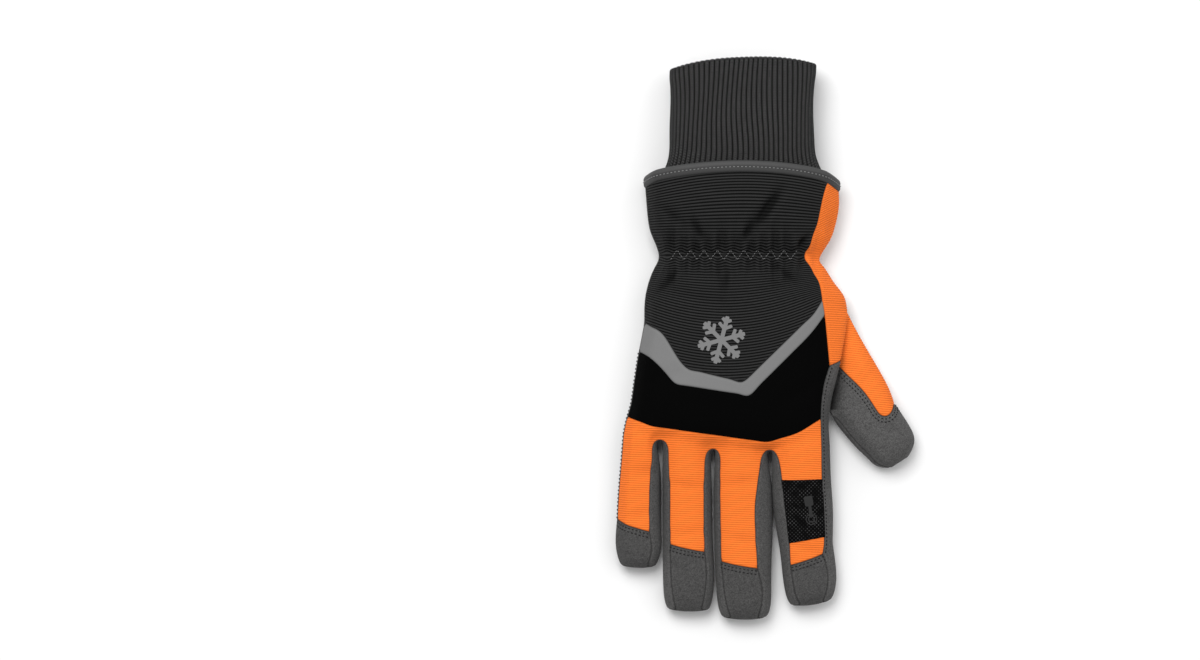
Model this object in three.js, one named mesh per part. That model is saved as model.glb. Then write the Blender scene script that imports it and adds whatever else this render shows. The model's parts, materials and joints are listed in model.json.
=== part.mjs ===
// Winter work glove for the right hand, lying on its palm: fingers towards -Y, cuff towards +Y,
// thumb towards +X, back of the hand up. Millimetres. The origin is under the middle of the glove.
import * as THREE from 'three';
import { mergeVertices } from 'three/addons/utils/BufferGeometryUtils.js';

// Driving dimensions
const WALL = 2.5;
const THUMB_CAP_WALL = 1.2;
const KNIT_WALL = 2.6;
const SEAM_GAP = 0.32;
// Panels whose edges turn in tight corners stay a little further back from their neighbours.
const EDGE_GAPS = { thumb_cap: 1.0, thumb_gusset: 0.3, reflective_strip: 0.26,
  fourchette_1: 0.34, fourchette_2: 0.34, fourchette_3: 0.34 };
const PAD_THICKNESS = 1.8;
const PALM_LIFT = PAD_THICKNESS + SEAM_GAP;
const EDGE_INSET = 4.5;
const CELLS_PER_FINGER = 4;
const ELASTIC_WAVE = 1.1;
const RIB_COUNT = 72;
const RIB_DEPTH = 0.75;
const CUFF_LOWER_Z = 4;
const CUFF_END_Y = 151.8;
const CUFF_END_BOW = 5.4;
const TAB = { centreX: -13, topY: 84.6, topWidth: 40.6, endWidth: 26.7, length: 33.4, radius: 4.5 };
const LABEL = { centreX: -13, topY: 87.5, topWidth: 29, endWidth: 15, length: 25.5, radius: 3 };
const TAB_THICKNESS = 1.8;
const LABEL_THICKNESS = 1.6;
const PATCH_THICKNESS = 0.9;

const table = (columns, rows) => rows.map((row) =>
  Object.fromEntries(columns.map((column, index) => [column, row[index]])));

// Cross lines of the hand, from the rim of the gauntlet to the roots of the fingers. left and side
// are the plan points of the outline, seam is where the back ends on the thumb's side, back and
// palm are the line's Y in the middle, upper and lower are the heights of the two lips of the
// thumb's hole (alike where there is no hole), corner is where the flat of the palm begins, and
// fingers says how far the four finger shapes already show.
const HAND = table(
  ['leftX', 'leftY', 'sideX', 'sideY', 'seamX', 'back', 'palm', 'height', 'upper', 'lower',
    'corner', 'fingers', 'wave'],
  [
    [-66.0, 84, 41.4, 82, 34.5, 93.1, 74.5, 42, 17, 17, 14.3, 0, 0],
    [-65.8, 73, 41.2, 72.5, 31.5, 81, 65, 42, 17, 17, 14.3, 0, 0],
    [-64.8, 61.5, 38.6, 62, 29.0, 66, 57, 39, 16, 16, 14.5, 0, 0.2],
    [-62.0, 54, 35.4, 53.5, 25.6, 54.5, 53, 35.5, 15, 15, 14.8, 0, 0.8],
    [-59.4, 45.6, 30.0, 44.4, 22.3, 46.2, 49, 31, 13, 13, 18.2, 0, 1],
    [-61.8, 39.5, 33.2, 39.5, 25.3, 40.5, 42, 33.5, 13, 13, 25.5, 0, 0.7],
    [-65.2, 31.0, 37.8, 31.5, 29.0, 30, 31, 35.5, 13, 13, 32.5, 0, 0.2],
    [-67.4, 20.0, 44.6, 23.5, 30.6, 11, 20, 36.5, 13, 13, 39.0, 0, 0],
    [-67.5, 8.4, 46.2, 15.0, 31.5, 0, 8, 37, 12.5, 12.5, 42.6, 0.05, 0],
    [-70.7, -7.7, 46.4, 7.0, 32.9, 0, 0, 37, 18, 8, 39.5, 0.1, 0],
    [-72.0, -16.0, 44.2, -2.5, 34.2, 0, -10, 36.5, 20.5, 5, 37.5, 0.15, 0],
    [-73.4, -25.4, 41.7, -12.5, 35.7, 0, -20, 36, 21.5, 4.2, 35.5, 0.2, 0],
    [-74.3, -32.0, 39.0, -24.0, 32.6, 0, -29, 35.5, 20, 4.2, 33.5, 0.3, 0],
    [-75.4, -38.0, 36.9, -33.5, 31.2, 0, -38, 34.5, 17, 5.5, 32.0, 0.4, 0],
    [-77.2, -43.8, 35.6, -42.5, 31.0, 0, -46, 33, 11.5, 11.5, 31.0, 0.55, 0],
    [-78.9, -51.5, 35.6, -53.5, 31.2, 0, -54, 30.5, 12.5, 12.5, 31.0, 0.8, 0],
  ]);
const ELASTIC_ROW = 4;
const STRIP_TOP_ROW = 8;
const STRIP_BOTTOM_ROW = 9;
const GUSSET_END_ROW = 11;
const BAND_BOTTOM_ROW = 14;
const HOLE_TOP_ROW = 8;
const HOLE_END_ROW = 14;

// Plan curves of the seams that cross the back, left to right.
const STRIP_TOP = [[-67.5, 8.4], [-57.5, 2.5], [-45.5, -16.6], [-12.7, -24.6], [26.5, 13.5],
  [31.5, 21.3]];
const STRIP_BOTTOM = [[-70.7, -7.7], [-63.5, -11.5], [-50.5, -25.6], [-9.5, -32], [25.4, 2.6],
  [32.9, 12.9]];
const BAND_BOTTOM = [[-77.2, -43.8], [-63, -49.4], [-30, -54], [0.7, -58.2], [17.2, -53.3],
  [31, -45]];
// How far each of the cross lines in the knuckle band lies from its upper to its lower seam.
const BAND_STEPS = { 10: 0.23, 11: 0.49, 12: 0.675, 13: 0.845 };
const WRIST_STEPS = { 5: 0.2, 6: 0.45, 7: 0.72 };

// Cross lines of each finger: outline left and right, seams of the back left and right, height.
const FINGER_COLUMNS = ['leftX', 'leftY', 'rightX', 'rightY', 'seamLeft', 'seamRight', 'height',
  'lift'];
const FINGERS = [
  table(FINGER_COLUMNS, [
    [-79.6, -57.5, -60.4, -58.3, -75.1, -62.0, 24.5, PALM_LIFT],
    [-80.4, -68.0, -59.0, -69.0, -76.2, -62.8, 23, 1.1],
    [-81.4, -79.5, -58.4, -81.0, -77.2, -64.2, 21.5, 0.3],
    [-82.2, -90.5, -58.4, -94.0, -78.0, -64.4, 20.5, 0],
    [-82.7, -101.3, -58.3, -108.3, -78.4, -64.4, 20, 0],
    [-83.6, -113.0, -58.2, -117.5, -79.2, -63.2, 19.5, 0.2],
    [-82.4, -122.0, -60.2, -124.6, -77.6, -64.4, 17.5, 1],
    [-80.4, -126.8, -62.0, -127.6, -76.6, -65.2, 13.5, 3.2]]),
  table(FINGER_COLUMNS, [
    [-57.3, -58.4, -30.6, -63.7, -55.2, -32.2, 25.5, PALM_LIFT],
    [-57.3, -70.0, -30.2, -74.5, -54.6, -33.6, 24, 1.1],
    [-57.1, -83.0, -29.9, -87.0, -53.6, -34.0, 22.5, 0.3],
    [-57.1, -98.0, -29.7, -102.0, -53.6, -34.0, 21.5, 0],
    [-57.0, -113.1, -29.3, -118.9, -53.4, -33.6, 21, 0],
    [-56.9, -130.0, -28.6, -133.5, -53.0, -32.6, 20, 0.2],
    [-56.2, -145.0, -29.8, -146.5, -51.6, -34.2, 18, 1],
    [-54.0, -151.4, -31.6, -151.8, -50.2, -35.2, 13.5, 3.2]]),
  table(FINGER_COLUMNS, [
    [-28.0, -63.8, 1.2, -64.4, -26.2, -1.2, 26, PALM_LIFT],
    [-28.6, -76.0, 2.1, -77.0, -25.9, -3.4, 24.5, 1.1],
    [-28.6, -91.0, 2.9, -92.0, -25.6, -5.6, 23, 0.3],
    [-28.4, -107.0, 3.2, -108.5, -25.4, -5.4, 22, 0],
    [-28.0, -123.0, 3.1, -128.3, -25.0, -4.2, 21.5, 0],
    [-27.2, -138.5, 3.2, -141.5, -23.6, -1.4, 20.5, 0.2],
    [-25.8, -150.5, 2.4, -152.0, -21.4, -2.6, 18.5, 1],
    [-23.4, -156.0, -0.4, -156.3, -19.6, -3.8, 13.5, 3.2]]),
  table(FINGER_COLUMNS, [
    [3.6, -64.5, 35.9, -62.5, 5.8, 31.4, 27, PALM_LIFT],
    [4.6, -79.3, 36.4, -78.6, 8.6, 31.6, 25, 1.1],
    [5.6, -97.0, 37.6, -94.5, 11.0, 32.4, 23.5, 0.3],
    [8.0, -115.3, 37.6, -110.0, 12.9, 33.0, 22, 0],
    [9.4, -127.0, 37.9, -116.9, 13.5, 32.4, 21.5, 0],
    [10.6, -137.0, 39.6, -131.0, 15.0, 35.0, 20.5, 0.2],
    [12.6, -145.6, 38.6, -141.4, 17.0, 34.0, 18.5, 1],
    [15.4, -149.4, 36.2, -146.6, 19.2, 32.4, 13.5, 3.2]]),
];
const PINKY = 0;
const INDEX = 3;
const CAP_ROW = 4;
const CAP_BOW = 1.5;
const TIP_BULGE = 1.0;
const LINE_DOME = 1.8;
const CUFF_DOME = 2.4;
const PATCH_ROWS = [1, 3];

// Cross lines of the thumb: outer and inner point of the outline, the seam's share of the way
// between them, and the height. The first line is the hole in the hand itself.
const THUMB = table(['outerX', 'outerY', 'innerX', 'innerY', 'seam', 'height'], [
  [53.6, 0.4, 38.6, -46.6, 0.47, 19.3],
  [62.0, -14.6, 43.0, -51.6, 0.4, 21.5],
  [69.4, -28.0, 47.4, -56.8, 0.38, 22.5],
  [74.6, -38.4, 52.4, -62.2, 0.37, 22],
  [81.2, -49.6, 57.6, -67.0, 0.4, 21],
  [83.7, -58.2, 62.4, -71.4, 0.42, 18],
  [80.6, -65.6, 69.4, -72.6, 0.45, 12],
]);
const THUMB_CELLS = HOLE_END_ROW - HOLE_TOP_ROW;
const THUMB_SEAM_LINE = 3;
const THUMB_CAP_RING = 4;

// Cross lines of the knitted cuff: how far it has left the rim behind, middle Y on the back, at
// the sides and on the palm, half width, lowest and highest point.
const CUFF = table(['free', 'back', 'side', 'palm', 'halfWidth', 'low', 'high'], [
  [0, 84, 76, 72, 43, CUFF_LOWER_Z, 38],
  [0.6, 96, 91, 86, 41, CUFF_LOWER_Z, 39],
  [0.95, 107, 104, 101, 40.2, CUFF_LOWER_Z, 39],
  [1, 124, 122, 120, 40.4, CUFF_LOWER_Z, 39],
  [1, 142, 140, 142, 41.2, CUFF_LOWER_Z, 39.5],
  [1, CUFF_END_Y + CUFF_END_BOW, CUFF_END_Y, CUFF_END_Y + CUFF_END_BOW, 41.4,
    CUFF_LOWER_Z, 39],
]);
const CUFF_CENTRE_X = -12.2;
const CUFF_INNER_SIDES = 36;

// Corners of the padded patches on the palm, and how round they are.
const PADS = {
  pad_knuckle: { radius: 7, corners: [[19.7, -39], [0, -58.5], [-9, -61.6], [-52, -52],
    [-70.6, -42.5], [-72, -30], [-66, -16.6], [-33, -27.8]] },
  pad_thumb_heel: { radius: 6, corners: [[15.6, -27], [6, -29.6], [-18.5, -23.4], [-30.6, -2],
    [1.5, 32.4], [12.5, 15]] },
  pad_outer_heel: { radius: 5, corners: [[-30.4, -20.6], [-47, -18.5], [-66.4, -9.5],
    [-65.6, 0], [-52.5, 41.6], [-12, 36.5], [-8.6, 31.6], [-38.6, -1]] },
};

const COLOURS = {
  knit: 0x303030, binding: 0x474747, black: 0x242424, neoprene: 0x070707, strip: 0x898989,
  orange: 0xfc7f38, suede: 0x505050, patch: 0x0c0c0c, label: 0x2b2b2b,
};

const lerp = (a, b, t) => a + (b - a) * t;
const vec = (x, y, z) => new THREE.Vector3(x, y, z);

// Y of a plan curve at a given X.
function curveY(points, x) {
  const last = points.length - 1;
  const clamped = Math.min(Math.max(x, points[0][0]), points[last][0]);
  let index = 0;
  while (index < last - 1 && clamped > points[index + 1][0]) index += 1;
  const [x0, y0] = points[index];
  const [x1, y1] = points[index + 1];
  return lerp(y0, y1, (clamped - x0) / (x1 - x0));
}

// Height of a domed cross section: 0 at the outline, 1 in the middle.
const dome = (share, power = 2.6) =>
  Math.pow(Math.max(0, 1 - Math.pow(Math.min(1, Math.abs(share)), power)), 1 / power);

// The skin is one net of points and four-sided cells, and each cell belongs to one panel.
const points = [];
const cells = [];
const addPoint = (point) => points.push(point) - 1;
const addCell = (panel, corners) => cells.push({ panel, corners: [...new Set(corners)] });

// A finger's cross line runs over the back, down the right side, along the palm and up the left.
function fingerRing(row, bow) {
  const width = row.rightX - row.leftX;
  const alongY = (x) => lerp(row.leftY, row.rightY, (x - row.leftX) / width);
  const middle = row.lift + 0.5 * (row.height - row.lift);
  const ring = [];
  for (let step = 0; step <= CELLS_PER_FINGER; step += 1) {
    const x = lerp(row.seamLeft, row.seamRight, step / CELLS_PER_FINGER);
    const share = (2 * (x - row.leftX)) / width - 1;
    ring.push(vec(x, alongY(x) - bow * dome(share, 2),
      middle + (row.height - middle) * dome(share)));
  }
  const upper = row.lift + 0.58 * (row.height - row.lift);
  const lower = row.lift + 0.22 * (row.height - row.lift);
  ring.push(vec(row.rightX, row.rightY, upper));
  ring.push(vec(row.rightX - 0.8, row.rightY, lower));
  for (let step = 0; step <= CELLS_PER_FINGER; step += 1) {
    const x = lerp(row.rightX - 3.6, row.leftX + 3.6, step / CELLS_PER_FINGER);
    ring.push(vec(x, alongY(x), row.lift));
  }
  ring.push(vec(row.leftX + 0.8, row.leftY, lower));
  ring.push(vec(row.leftX, row.leftY, upper));
  return ring;
}
const TOP = 0;
const RIGHT = CELLS_PER_FINGER + 1;
const BOTTOM = RIGHT + 2;
const LEFT = BOTTOM + CELLS_PER_FINGER + 1;
const RING_SIZE = LEFT + 2;

const fingerRings = FINGERS.map((rows) => rows.map((row, index) =>
  fingerRing(row, index === CAP_ROW ? CAP_BOW : 0).map((point) => addPoint(point))));

// The hand's cross lines have the fingers' columns, with one more cell over each finger root.
const rootTop = FINGERS.flatMap((_, finger) =>
  fingerRings[finger][0].slice(TOP, RIGHT));
const rootBottom = FINGERS.flatMap((_, finger) =>
  fingerRings[INDEX - finger][0].slice(BOTTOM, LEFT));
const COLUMNS = rootTop.length;
const shareOf = (line, index) => {
  const first = points[line[0]].x;
  const last = points[line[line.length - 1]].x;
  return (points[line[index]].x - first) / (last - first);
};

function lineYOnBack(rowIndex, x) {
  const row = HAND[rowIndex];
  if (rowIndex === STRIP_TOP_ROW) return curveY(STRIP_TOP, x);
  if (rowIndex === STRIP_BOTTOM_ROW) return curveY(STRIP_BOTTOM, x);
  if (rowIndex === BAND_BOTTOM_ROW) return curveY(BAND_BOTTOM, x);
  if (rowIndex in BAND_STEPS) {
    return lerp(curveY(STRIP_BOTTOM, x), curveY(BAND_BOTTOM, x), BAND_STEPS[rowIndex]);
  }
  if (rowIndex in WRIST_STEPS) {
    return lerp(HAND[ELASTIC_ROW].back, curveY(STRIP_TOP, x), WRIST_STEPS[rowIndex]);
  }
  const across = (x - row.leftX) / (row.sideX - row.leftX);
  return lerp(lerp(row.leftY, row.sideY, across), row.back, dome(2 * across - 1, LINE_DOME));
}

function handRow(row, rowIndex) {
  const centre = (row.leftX + row.sideX) / 2;
  const half = (row.sideX - row.leftX) / 2;
  const middle = PALM_LIFT + 0.42 * (row.height - PALM_LIFT);
  const line = { top: [], bottom: [] };
  for (let column = 0; column < COLUMNS; column += 1) {
    const even = column / (COLUMNS - 1);
    const share = lerp(even, shareOf(rootTop, column), row.fingers);
    const x = lerp(row.leftX + EDGE_INSET, row.seamX, share);
    const ripple = row.wave * ELASTIC_WAVE * (column % 2 ? -1 : 0.4);
    const root = points[rootTop[column]];
    const smooth = middle + (row.height - middle) * dome((x - centre) / half);
    const z = lerp(smooth, root.z, row.fingers ** 2) + ripple;
    const onLine = lineYOnBack(rowIndex, x);
    const y = rowIndex > BAND_BOTTOM_ROW ? lerp(curveY(BAND_BOTTOM, x), root.y, 0.5) : onLine;
    line.top.push(addPoint(vec(x, y, z)));
  }
  for (let column = 0; column < COLUMNS; column += 1) {
    const even = column / (COLUMNS - 1);
    const share = lerp(even, shareOf(rootBottom, column), row.fingers);
    const x = lerp(row.corner, row.leftX + EDGE_INSET, share);
    const bow = dome(2 * share - 1, 2);
    const y = lerp(lerp(row.sideY, row.leftY, share), row.palm, bow);
    const root = points[rootBottom[column]];
    const ripple = row.wave * ELASTIC_WAVE * (column % 2 ? 1.4 : 0);
    const inPad = rowIndex > BAND_BOTTOM_ROW ? lerp(y, root.y, 0.3) : y;
    line.bottom.push(addPoint(vec(x, inPad, PALM_LIFT + ripple)));
  }
  const isHole = rowIndex > HOLE_TOP_ROW && rowIndex < HOLE_END_ROW;
  line.upper = addPoint(vec(row.sideX, row.sideY, row.upper + (isHole ? 0 : 2)));
  line.lower = isHole ? addPoint(vec(row.sideX - 0.6, row.sideY, row.lower)) : line.upper;
  const belowX = lerp(row.sideX, row.corner, isHole ? 0.5 : Math.min(0.35, 3 / (row.sideX
    - row.corner)));
  const belowZ = isHole ? PALM_LIFT + 0.3 : lerp(PALM_LIFT, row.lower, 0.35);
  line.below = addPoint(vec(belowX, row.sideY, belowZ));
  line.leftLow = addPoint(vec(row.leftX + 0.9, row.leftY, PALM_LIFT + 0.14 * row.height));
  line.leftHigh = addPoint(vec(row.leftX, row.leftY, middle));
  return line;
}

const handRows = HAND.map((row, index) => handRow(row, index));
handRows.push({
  top: rootTop,
  bottom: rootBottom,
  upper: fingerRings[INDEX][0][RIGHT],
  lower: fingerRings[INDEX][0][RIGHT],
  below: fingerRings[INDEX][0][RIGHT + 1],
  leftLow: fingerRings[PINKY][0][LEFT],
  leftHigh: fingerRings[PINKY][0][LEFT + 1],
});

function backPanelName(rowIndex) {
  if (rowIndex < STRIP_TOP_ROW) return 'back_panel';
  if (rowIndex < STRIP_BOTTOM_ROW) return 'reflective_strip';
  return rowIndex < BAND_BOTTOM_ROW ? 'knuckle_band' : 'finger_back';
}

for (let row = 0; row < HAND.length; row += 1) {
  const here = handRows[row];
  const next = handRows[row + 1];
  const back = backPanelName(row);
  addCell(back, [here.leftHigh, next.leftHigh, next.top[0], here.top[0]]);
  for (let column = 0; column < COLUMNS - 1; column += 1) {
    addCell(back, [here.top[column], next.top[column], next.top[column + 1],
      here.top[column + 1]]);
    addCell('palm_panel', [here.bottom[column], next.bottom[column], next.bottom[column + 1],
      here.bottom[column + 1]]);
  }
  const end = COLUMNS - 1;
  const upperSide = row < GUSSET_END_ROW ? 'thumb_gusset' : 'palm_panel';
  const lowerSide = row < HOLE_TOP_ROW ? 'thumb_gusset' : 'palm_panel';
  addCell(upperSide, [here.top[end], next.top[end], next.upper, here.upper]);
  addCell(lowerSide, [here.lower, next.lower, next.below, here.below]);
  addCell(lowerSide, [here.below, next.below, next.bottom[0], here.bottom[0]]);
  addCell('palm_panel', [here.bottom[end], next.bottom[end], next.leftLow, here.leftLow]);
  addCell('palm_panel', [here.leftLow, next.leftLow, next.leftHigh, here.leftHigh]);
}

// Fingers: back, side walls, underside, and a bulged end that belongs to the cap.
function fingerCellName(finger, column, row) {
  const onTop = column < RIGHT - 1;
  const onRight = column >= RIGHT - 1 && column < BOTTOM;
  const onLeft = column >= LEFT - 1;
  const cap = `fingertip_cap_${finger + 1}`;
  if (onTop) return row < CAP_ROW ? 'finger_back' : cap;
  if (onRight) return finger === INDEX ? 'palm_panel' : `fourchette_${finger + 1}`;
  if (onLeft && finger > PINKY) return `fourchette_${finger}`;
  if (column === RING_SIZE - 1) return row < CAP_ROW ? 'finger_back' : cap;
  return 'palm_panel';
}

function closeFingertip(finger, ring) {
  const upperRow = [ring[LEFT + 1]];
  const lowerRow = [ring[LEFT]];
  for (let step = 1; step < CELLS_PER_FINGER; step += 1) {
    const top = points[ring[TOP + step]];
    const bottom = points[ring[BOTTOM + CELLS_PER_FINGER - step]];
    const bulge = vec(0, -TIP_BULGE, 0);
    upperRow.push(addPoint(top.clone().lerp(bottom, 0.36).add(bulge)));
    lowerRow.push(addPoint(top.clone().lerp(bottom, 0.72).add(bulge)));
  }
  upperRow.push(ring[RIGHT]);
  lowerRow.push(ring[RIGHT + 1]);
  const topRow = ring.slice(TOP, RIGHT);
  const bottomRow = ring.slice(BOTTOM, LEFT).reverse();
  const rows = [topRow, upperRow, lowerRow, bottomRow];
  for (let row = 0; row < rows.length - 1; row += 1) {
    for (let step = 0; step < CELLS_PER_FINGER; step += 1) {
      addCell(`fingertip_cap_${finger + 1}`, [rows[row][step], rows[row + 1][step],
        rows[row + 1][step + 1], rows[row][step + 1]]);
    }
  }
}

fingerRings.forEach((rings, finger) => {
  for (let row = 0; row < rings.length - 1; row += 1) {
    for (let column = 0; column < RING_SIZE; column += 1) {
      const after = (column + 1) % RING_SIZE;
      addCell(fingerCellName(finger, column, row), [rings[row][column], rings[row + 1][column],
        rings[row + 1][after], rings[row][after]]);
    }
  }
  closeFingertip(finger, rings[rings.length - 1]);
});

// Each fourchette turns round the finger root with three cells that face the fingertips.
for (let finger = 0; finger < INDEX; finger += 1) {
  const left = fingerRings[finger][0];
  const right = fingerRings[finger + 1][0];
  const leftLine = [left[RIGHT - 1], left[RIGHT], left[RIGHT + 1], left[BOTTOM]];
  const rightLine = [right[TOP], right[LEFT + 1], right[LEFT], right[LEFT - 1]];
  for (let step = 0; step < leftLine.length - 1; step += 1) {
    addCell(`fourchette_${finger + 1}`, [leftLine[step], leftLine[step + 1],
      rightLine[step + 1], rightLine[step]]);
  }
}

// The thumb's rings start at the hole: outer end, lower lip, inner end, upper lip.
function thumbRing(row) {
  const middle = 0.5 * row.height;
  const at = (share, z) => vec(lerp(row.outerX, row.innerX, share),
    lerp(row.outerY, row.innerY, share), z);
  const ring = [at(0, middle)];
  const upper = [];
  for (let step = 1; step < THUMB_CELLS; step += 1) {
    const beforeSeam = step <= THUMB_SEAM_LINE;
    const share = beforeSeam
      ? (row.seam * step) / THUMB_SEAM_LINE
      : lerp(row.seam, 1, (step - THUMB_SEAM_LINE) / (THUMB_CELLS - THUMB_SEAM_LINE));
    const across = lerp(0.1, 0.9, (step - 1) / (THUMB_CELLS - 2));
    const floor = step === 1 || step === THUMB_CELLS - 1 ? 1.2 : 0;
    ring.push(at(across, floor));
    upper.push(at(share, middle + (row.height - middle) * dome(2 * share - 1, 2.4)));
  }
  ring.push(at(1, middle));
  return [...ring, ...upper.reverse()];
}
const holeRows = handRows.slice(HOLE_TOP_ROW, HOLE_END_ROW + 1);
const thumbRings = [[
  ...holeRows.map((row) => row.lower),
  ...holeRows.slice(1, -1).reverse().map((row) => row.upper),
], ...THUMB.map((row) => thumbRing(row).map((point) => addPoint(point)))];

function thumbCellName(column, ring) {
  if (column === 0) return ring < THUMB_CAP_RING ? 'thumb_gusset' : 'palm_panel';
  if (column < THUMB_CELLS) return 'palm_panel';
  const fromOuter = 2 * THUMB_CELLS - 1 - column;
  return fromOuter < THUMB_SEAM_LINE && ring < THUMB_CAP_RING ? 'thumb_gusset' : 'thumb_cap';
}

for (let ring = 0; ring < thumbRings.length - 1; ring += 1) {
  const size = 2 * THUMB_CELLS;
  for (let column = 0; column < size; column += 1) {
    const after = (column + 1) % size;
    addCell(thumbCellName(column, ring), [thumbRings[ring][column], thumbRings[ring + 1][column],
      thumbRings[ring + 1][after], thumbRings[ring][after]]);
  }
}
const thumbTip = thumbRings[thumbRings.length - 1];
for (let step = 0; step < THUMB_CELLS; step += 1) {
  const lowerPoint = (index) => thumbTip[index];
  const upperPoint = (index) => thumbTip[(2 * THUMB_CELLS - index) % (2 * THUMB_CELLS)];
  addCell('thumb_cap', [upperPoint(step), upperPoint(step + 1), lowerPoint(step + 1),
    lowerPoint(step)]);
}

// Outward direction at every point of the skin.
const normals = points.map(() => vec(0, 0, 0));
function cellNormal(corners) {
  const [a, b, c, d] = corners.map((index) => points[index]);
  const first = c.clone().sub(a);
  const second = (d ?? a).clone().sub(b);
  return first.cross(second);
}
cells.forEach(({ corners }) => {
  const normal = cellNormal(corners).normalize();
  corners.forEach((index) => normals[index].add(normal));
});
normals.forEach((normal) => normal.normalize());

// A panel: its cells as an outer face and an inner face, with walls along its edge. The edge is
// drawn in by half the seam gap, so that neighbours don't touch.
function panelGeometry(chosen, outerAt, innerAt, edgeGap) {
  const directed = new Map();
  chosen.forEach(({ corners }) => corners.forEach((from, index) => {
    const to = corners[(index + 1) % corners.length];
    directed.set(`${from}_${to}`, { from, to, normal: cellNormal(corners).normalize() });
  }));
  const edges = [...directed.values()].filter(({ from, to }) => !directed.has(`${to}_${from}`));
  const inward = new Map();
  edges.forEach(({ from, to, normal }) => {
    const along = points[to].clone().sub(points[from]).normalize();
    const direction = normal.clone().cross(along).normalize();
    [from, to].forEach((index) => {
      inward.set(index, [...(inward.get(index) ?? []), direction]);
    });
  });
  const shift = (index) => {
    const directions = inward.get(index);
    if (!directions) return vec(0, 0, 0);
    const sum = directions.reduce((total, one) => total.add(one), vec(0, 0, 0)).normalize();
    const opening = Math.max(0.5, sum.dot(directions[0]));
    return sum.multiplyScalar(edgeGap / opening);
  };
  const positions = [];
  const place = (index, depth) => points[index].clone().add(shift(index))
    .addScaledVector(normals[index], depth);
  const face = (corners) => corners.forEach((point) => positions.push(point.x, point.y, point.z));
  const fan = (corners, flip) => {
    for (let index = 1; index < corners.length - 1; index += 1) {
      const triangle = [corners[0], corners[index], corners[index + 1]];
      face(flip ? triangle.reverse() : triangle);
    }
  };
  chosen.forEach(({ corners }) => {
    const start = corners.length === 4 && points[corners[0]].distanceTo(points[corners[2]])
      > points[corners[1]].distanceTo(points[corners[3]]) ? 1 : 0;
    const turned = corners.map((_, index) => corners[(index + start) % corners.length]);
    fan(turned.map((index) => place(index, outerAt)), false);
    fan(turned.map((index) => place(index, innerAt)), true);
  });
  edges.forEach(({ from, to }) => {
    fan([place(to, outerAt), place(from, outerAt), place(from, innerAt), place(to, innerAt)],
      false);
  });
  const geometry = new THREE.BufferGeometry();
  geometry.setAttribute('position', new THREE.Float32BufferAttribute(positions, 3));
  return mergeVertices(geometry, 1e-4);
}

const glove = new THREE.Group();
function addMesh(name, geometry, colour, roughness = 0.9) {
  geometry.computeVertexNormals();
  const material = new THREE.MeshStandardMaterial({ color: colour, roughness, metalness: 0 });
  const mesh = new THREE.Mesh(geometry, material);
  mesh.name = name;
  glove.add(mesh);
  return mesh;
}

const PANEL_COLOURS = {
  back_panel: COLOURS.black,
  reflective_strip: COLOURS.strip,
  knuckle_band: COLOURS.neoprene,
  finger_back: COLOURS.orange,
  thumb_gusset: COLOURS.orange,
};
const panelNames = [...new Set(cells.map(({ panel }) => panel))];
panelNames.forEach((name) => {
  const chosen = cells.filter(({ panel }) => panel === name);
  const wall = name === 'thumb_cap' ? THUMB_CAP_WALL : WALL;
  addMesh(name, panelGeometry(chosen, 0, -wall, EDGE_GAPS[name] ?? SEAM_GAP / 2),
    PANEL_COLOURS[name] ?? COLOURS.suede);
});

// The patch lies on the back of the index finger.
const patchCells = [];
for (let row = PATCH_ROWS[0]; row < PATCH_ROWS[1]; row += 1) {
  const here = fingerRings[INDEX][row];
  const next = fingerRings[INDEX][row + 1];
  for (let column = TOP; column < RIGHT - 1; column += 1) {
    patchCells.push({ corners: [here[column], next[column], next[column + 1],
      here[column + 1]] });
  }
}
addMesh('touch_patch', panelGeometry(patchCells, SEAM_GAP + PATCH_THICKNESS, SEAM_GAP, 0.4),
  COLOURS.patch);

// A ring solid from a list of closed sections of equal size.
function ringGeometry(sections) {
  const positions = [];
  const size = sections[0].length;
  sections.forEach((section, index) => {
    const next = sections[(index + 1) % sections.length];
    for (let step = 0; step < size; step += 1) {
      const after = (step + 1) % size;
      [section[step], next[after], section[after], section[step], next[step], next[after]]
        .forEach((point) => positions.push(point.x, point.y, point.z));
    }
  });
  const geometry = new THREE.BufferGeometry();
  geometry.setAttribute('position', new THREE.Float32BufferAttribute(positions, 3));
  return mergeVertices(geometry, 1e-4);
}

// The rim of the gauntlet, once round, with its outward direction.
const rimRow = handRows[0];
const rim = [...rimRow.top, rimRow.upper, rimRow.below, ...rimRow.bottom, rimRow.leftLow,
  rimRow.leftHigh];
const rimOut = rim.map((index) => {
  const normal = normals[index].clone();
  normal.y = 0;
  return normal.normalize();
});
// Section of the rolled edge: how far past the rim, and how far out from the gauntlet's face.
const BINDING_SECTION = table(['past', 'out'], [
  [0.9, -2.6], [0.9, 0.5], [2.4, 1.2], [4.8, 1.0], [6.3, -0.8], [5.4, -3.1],
]);
addMesh('cuff_binding', ringGeometry(rim.map((index, order) => BINDING_SECTION.map((corner) => {
  const point = points[index].clone().addScaledVector(rimOut[order], corner.out);
  point.y += corner.past;
  return point;
}))), COLOURS.binding, 0.6);

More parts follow.
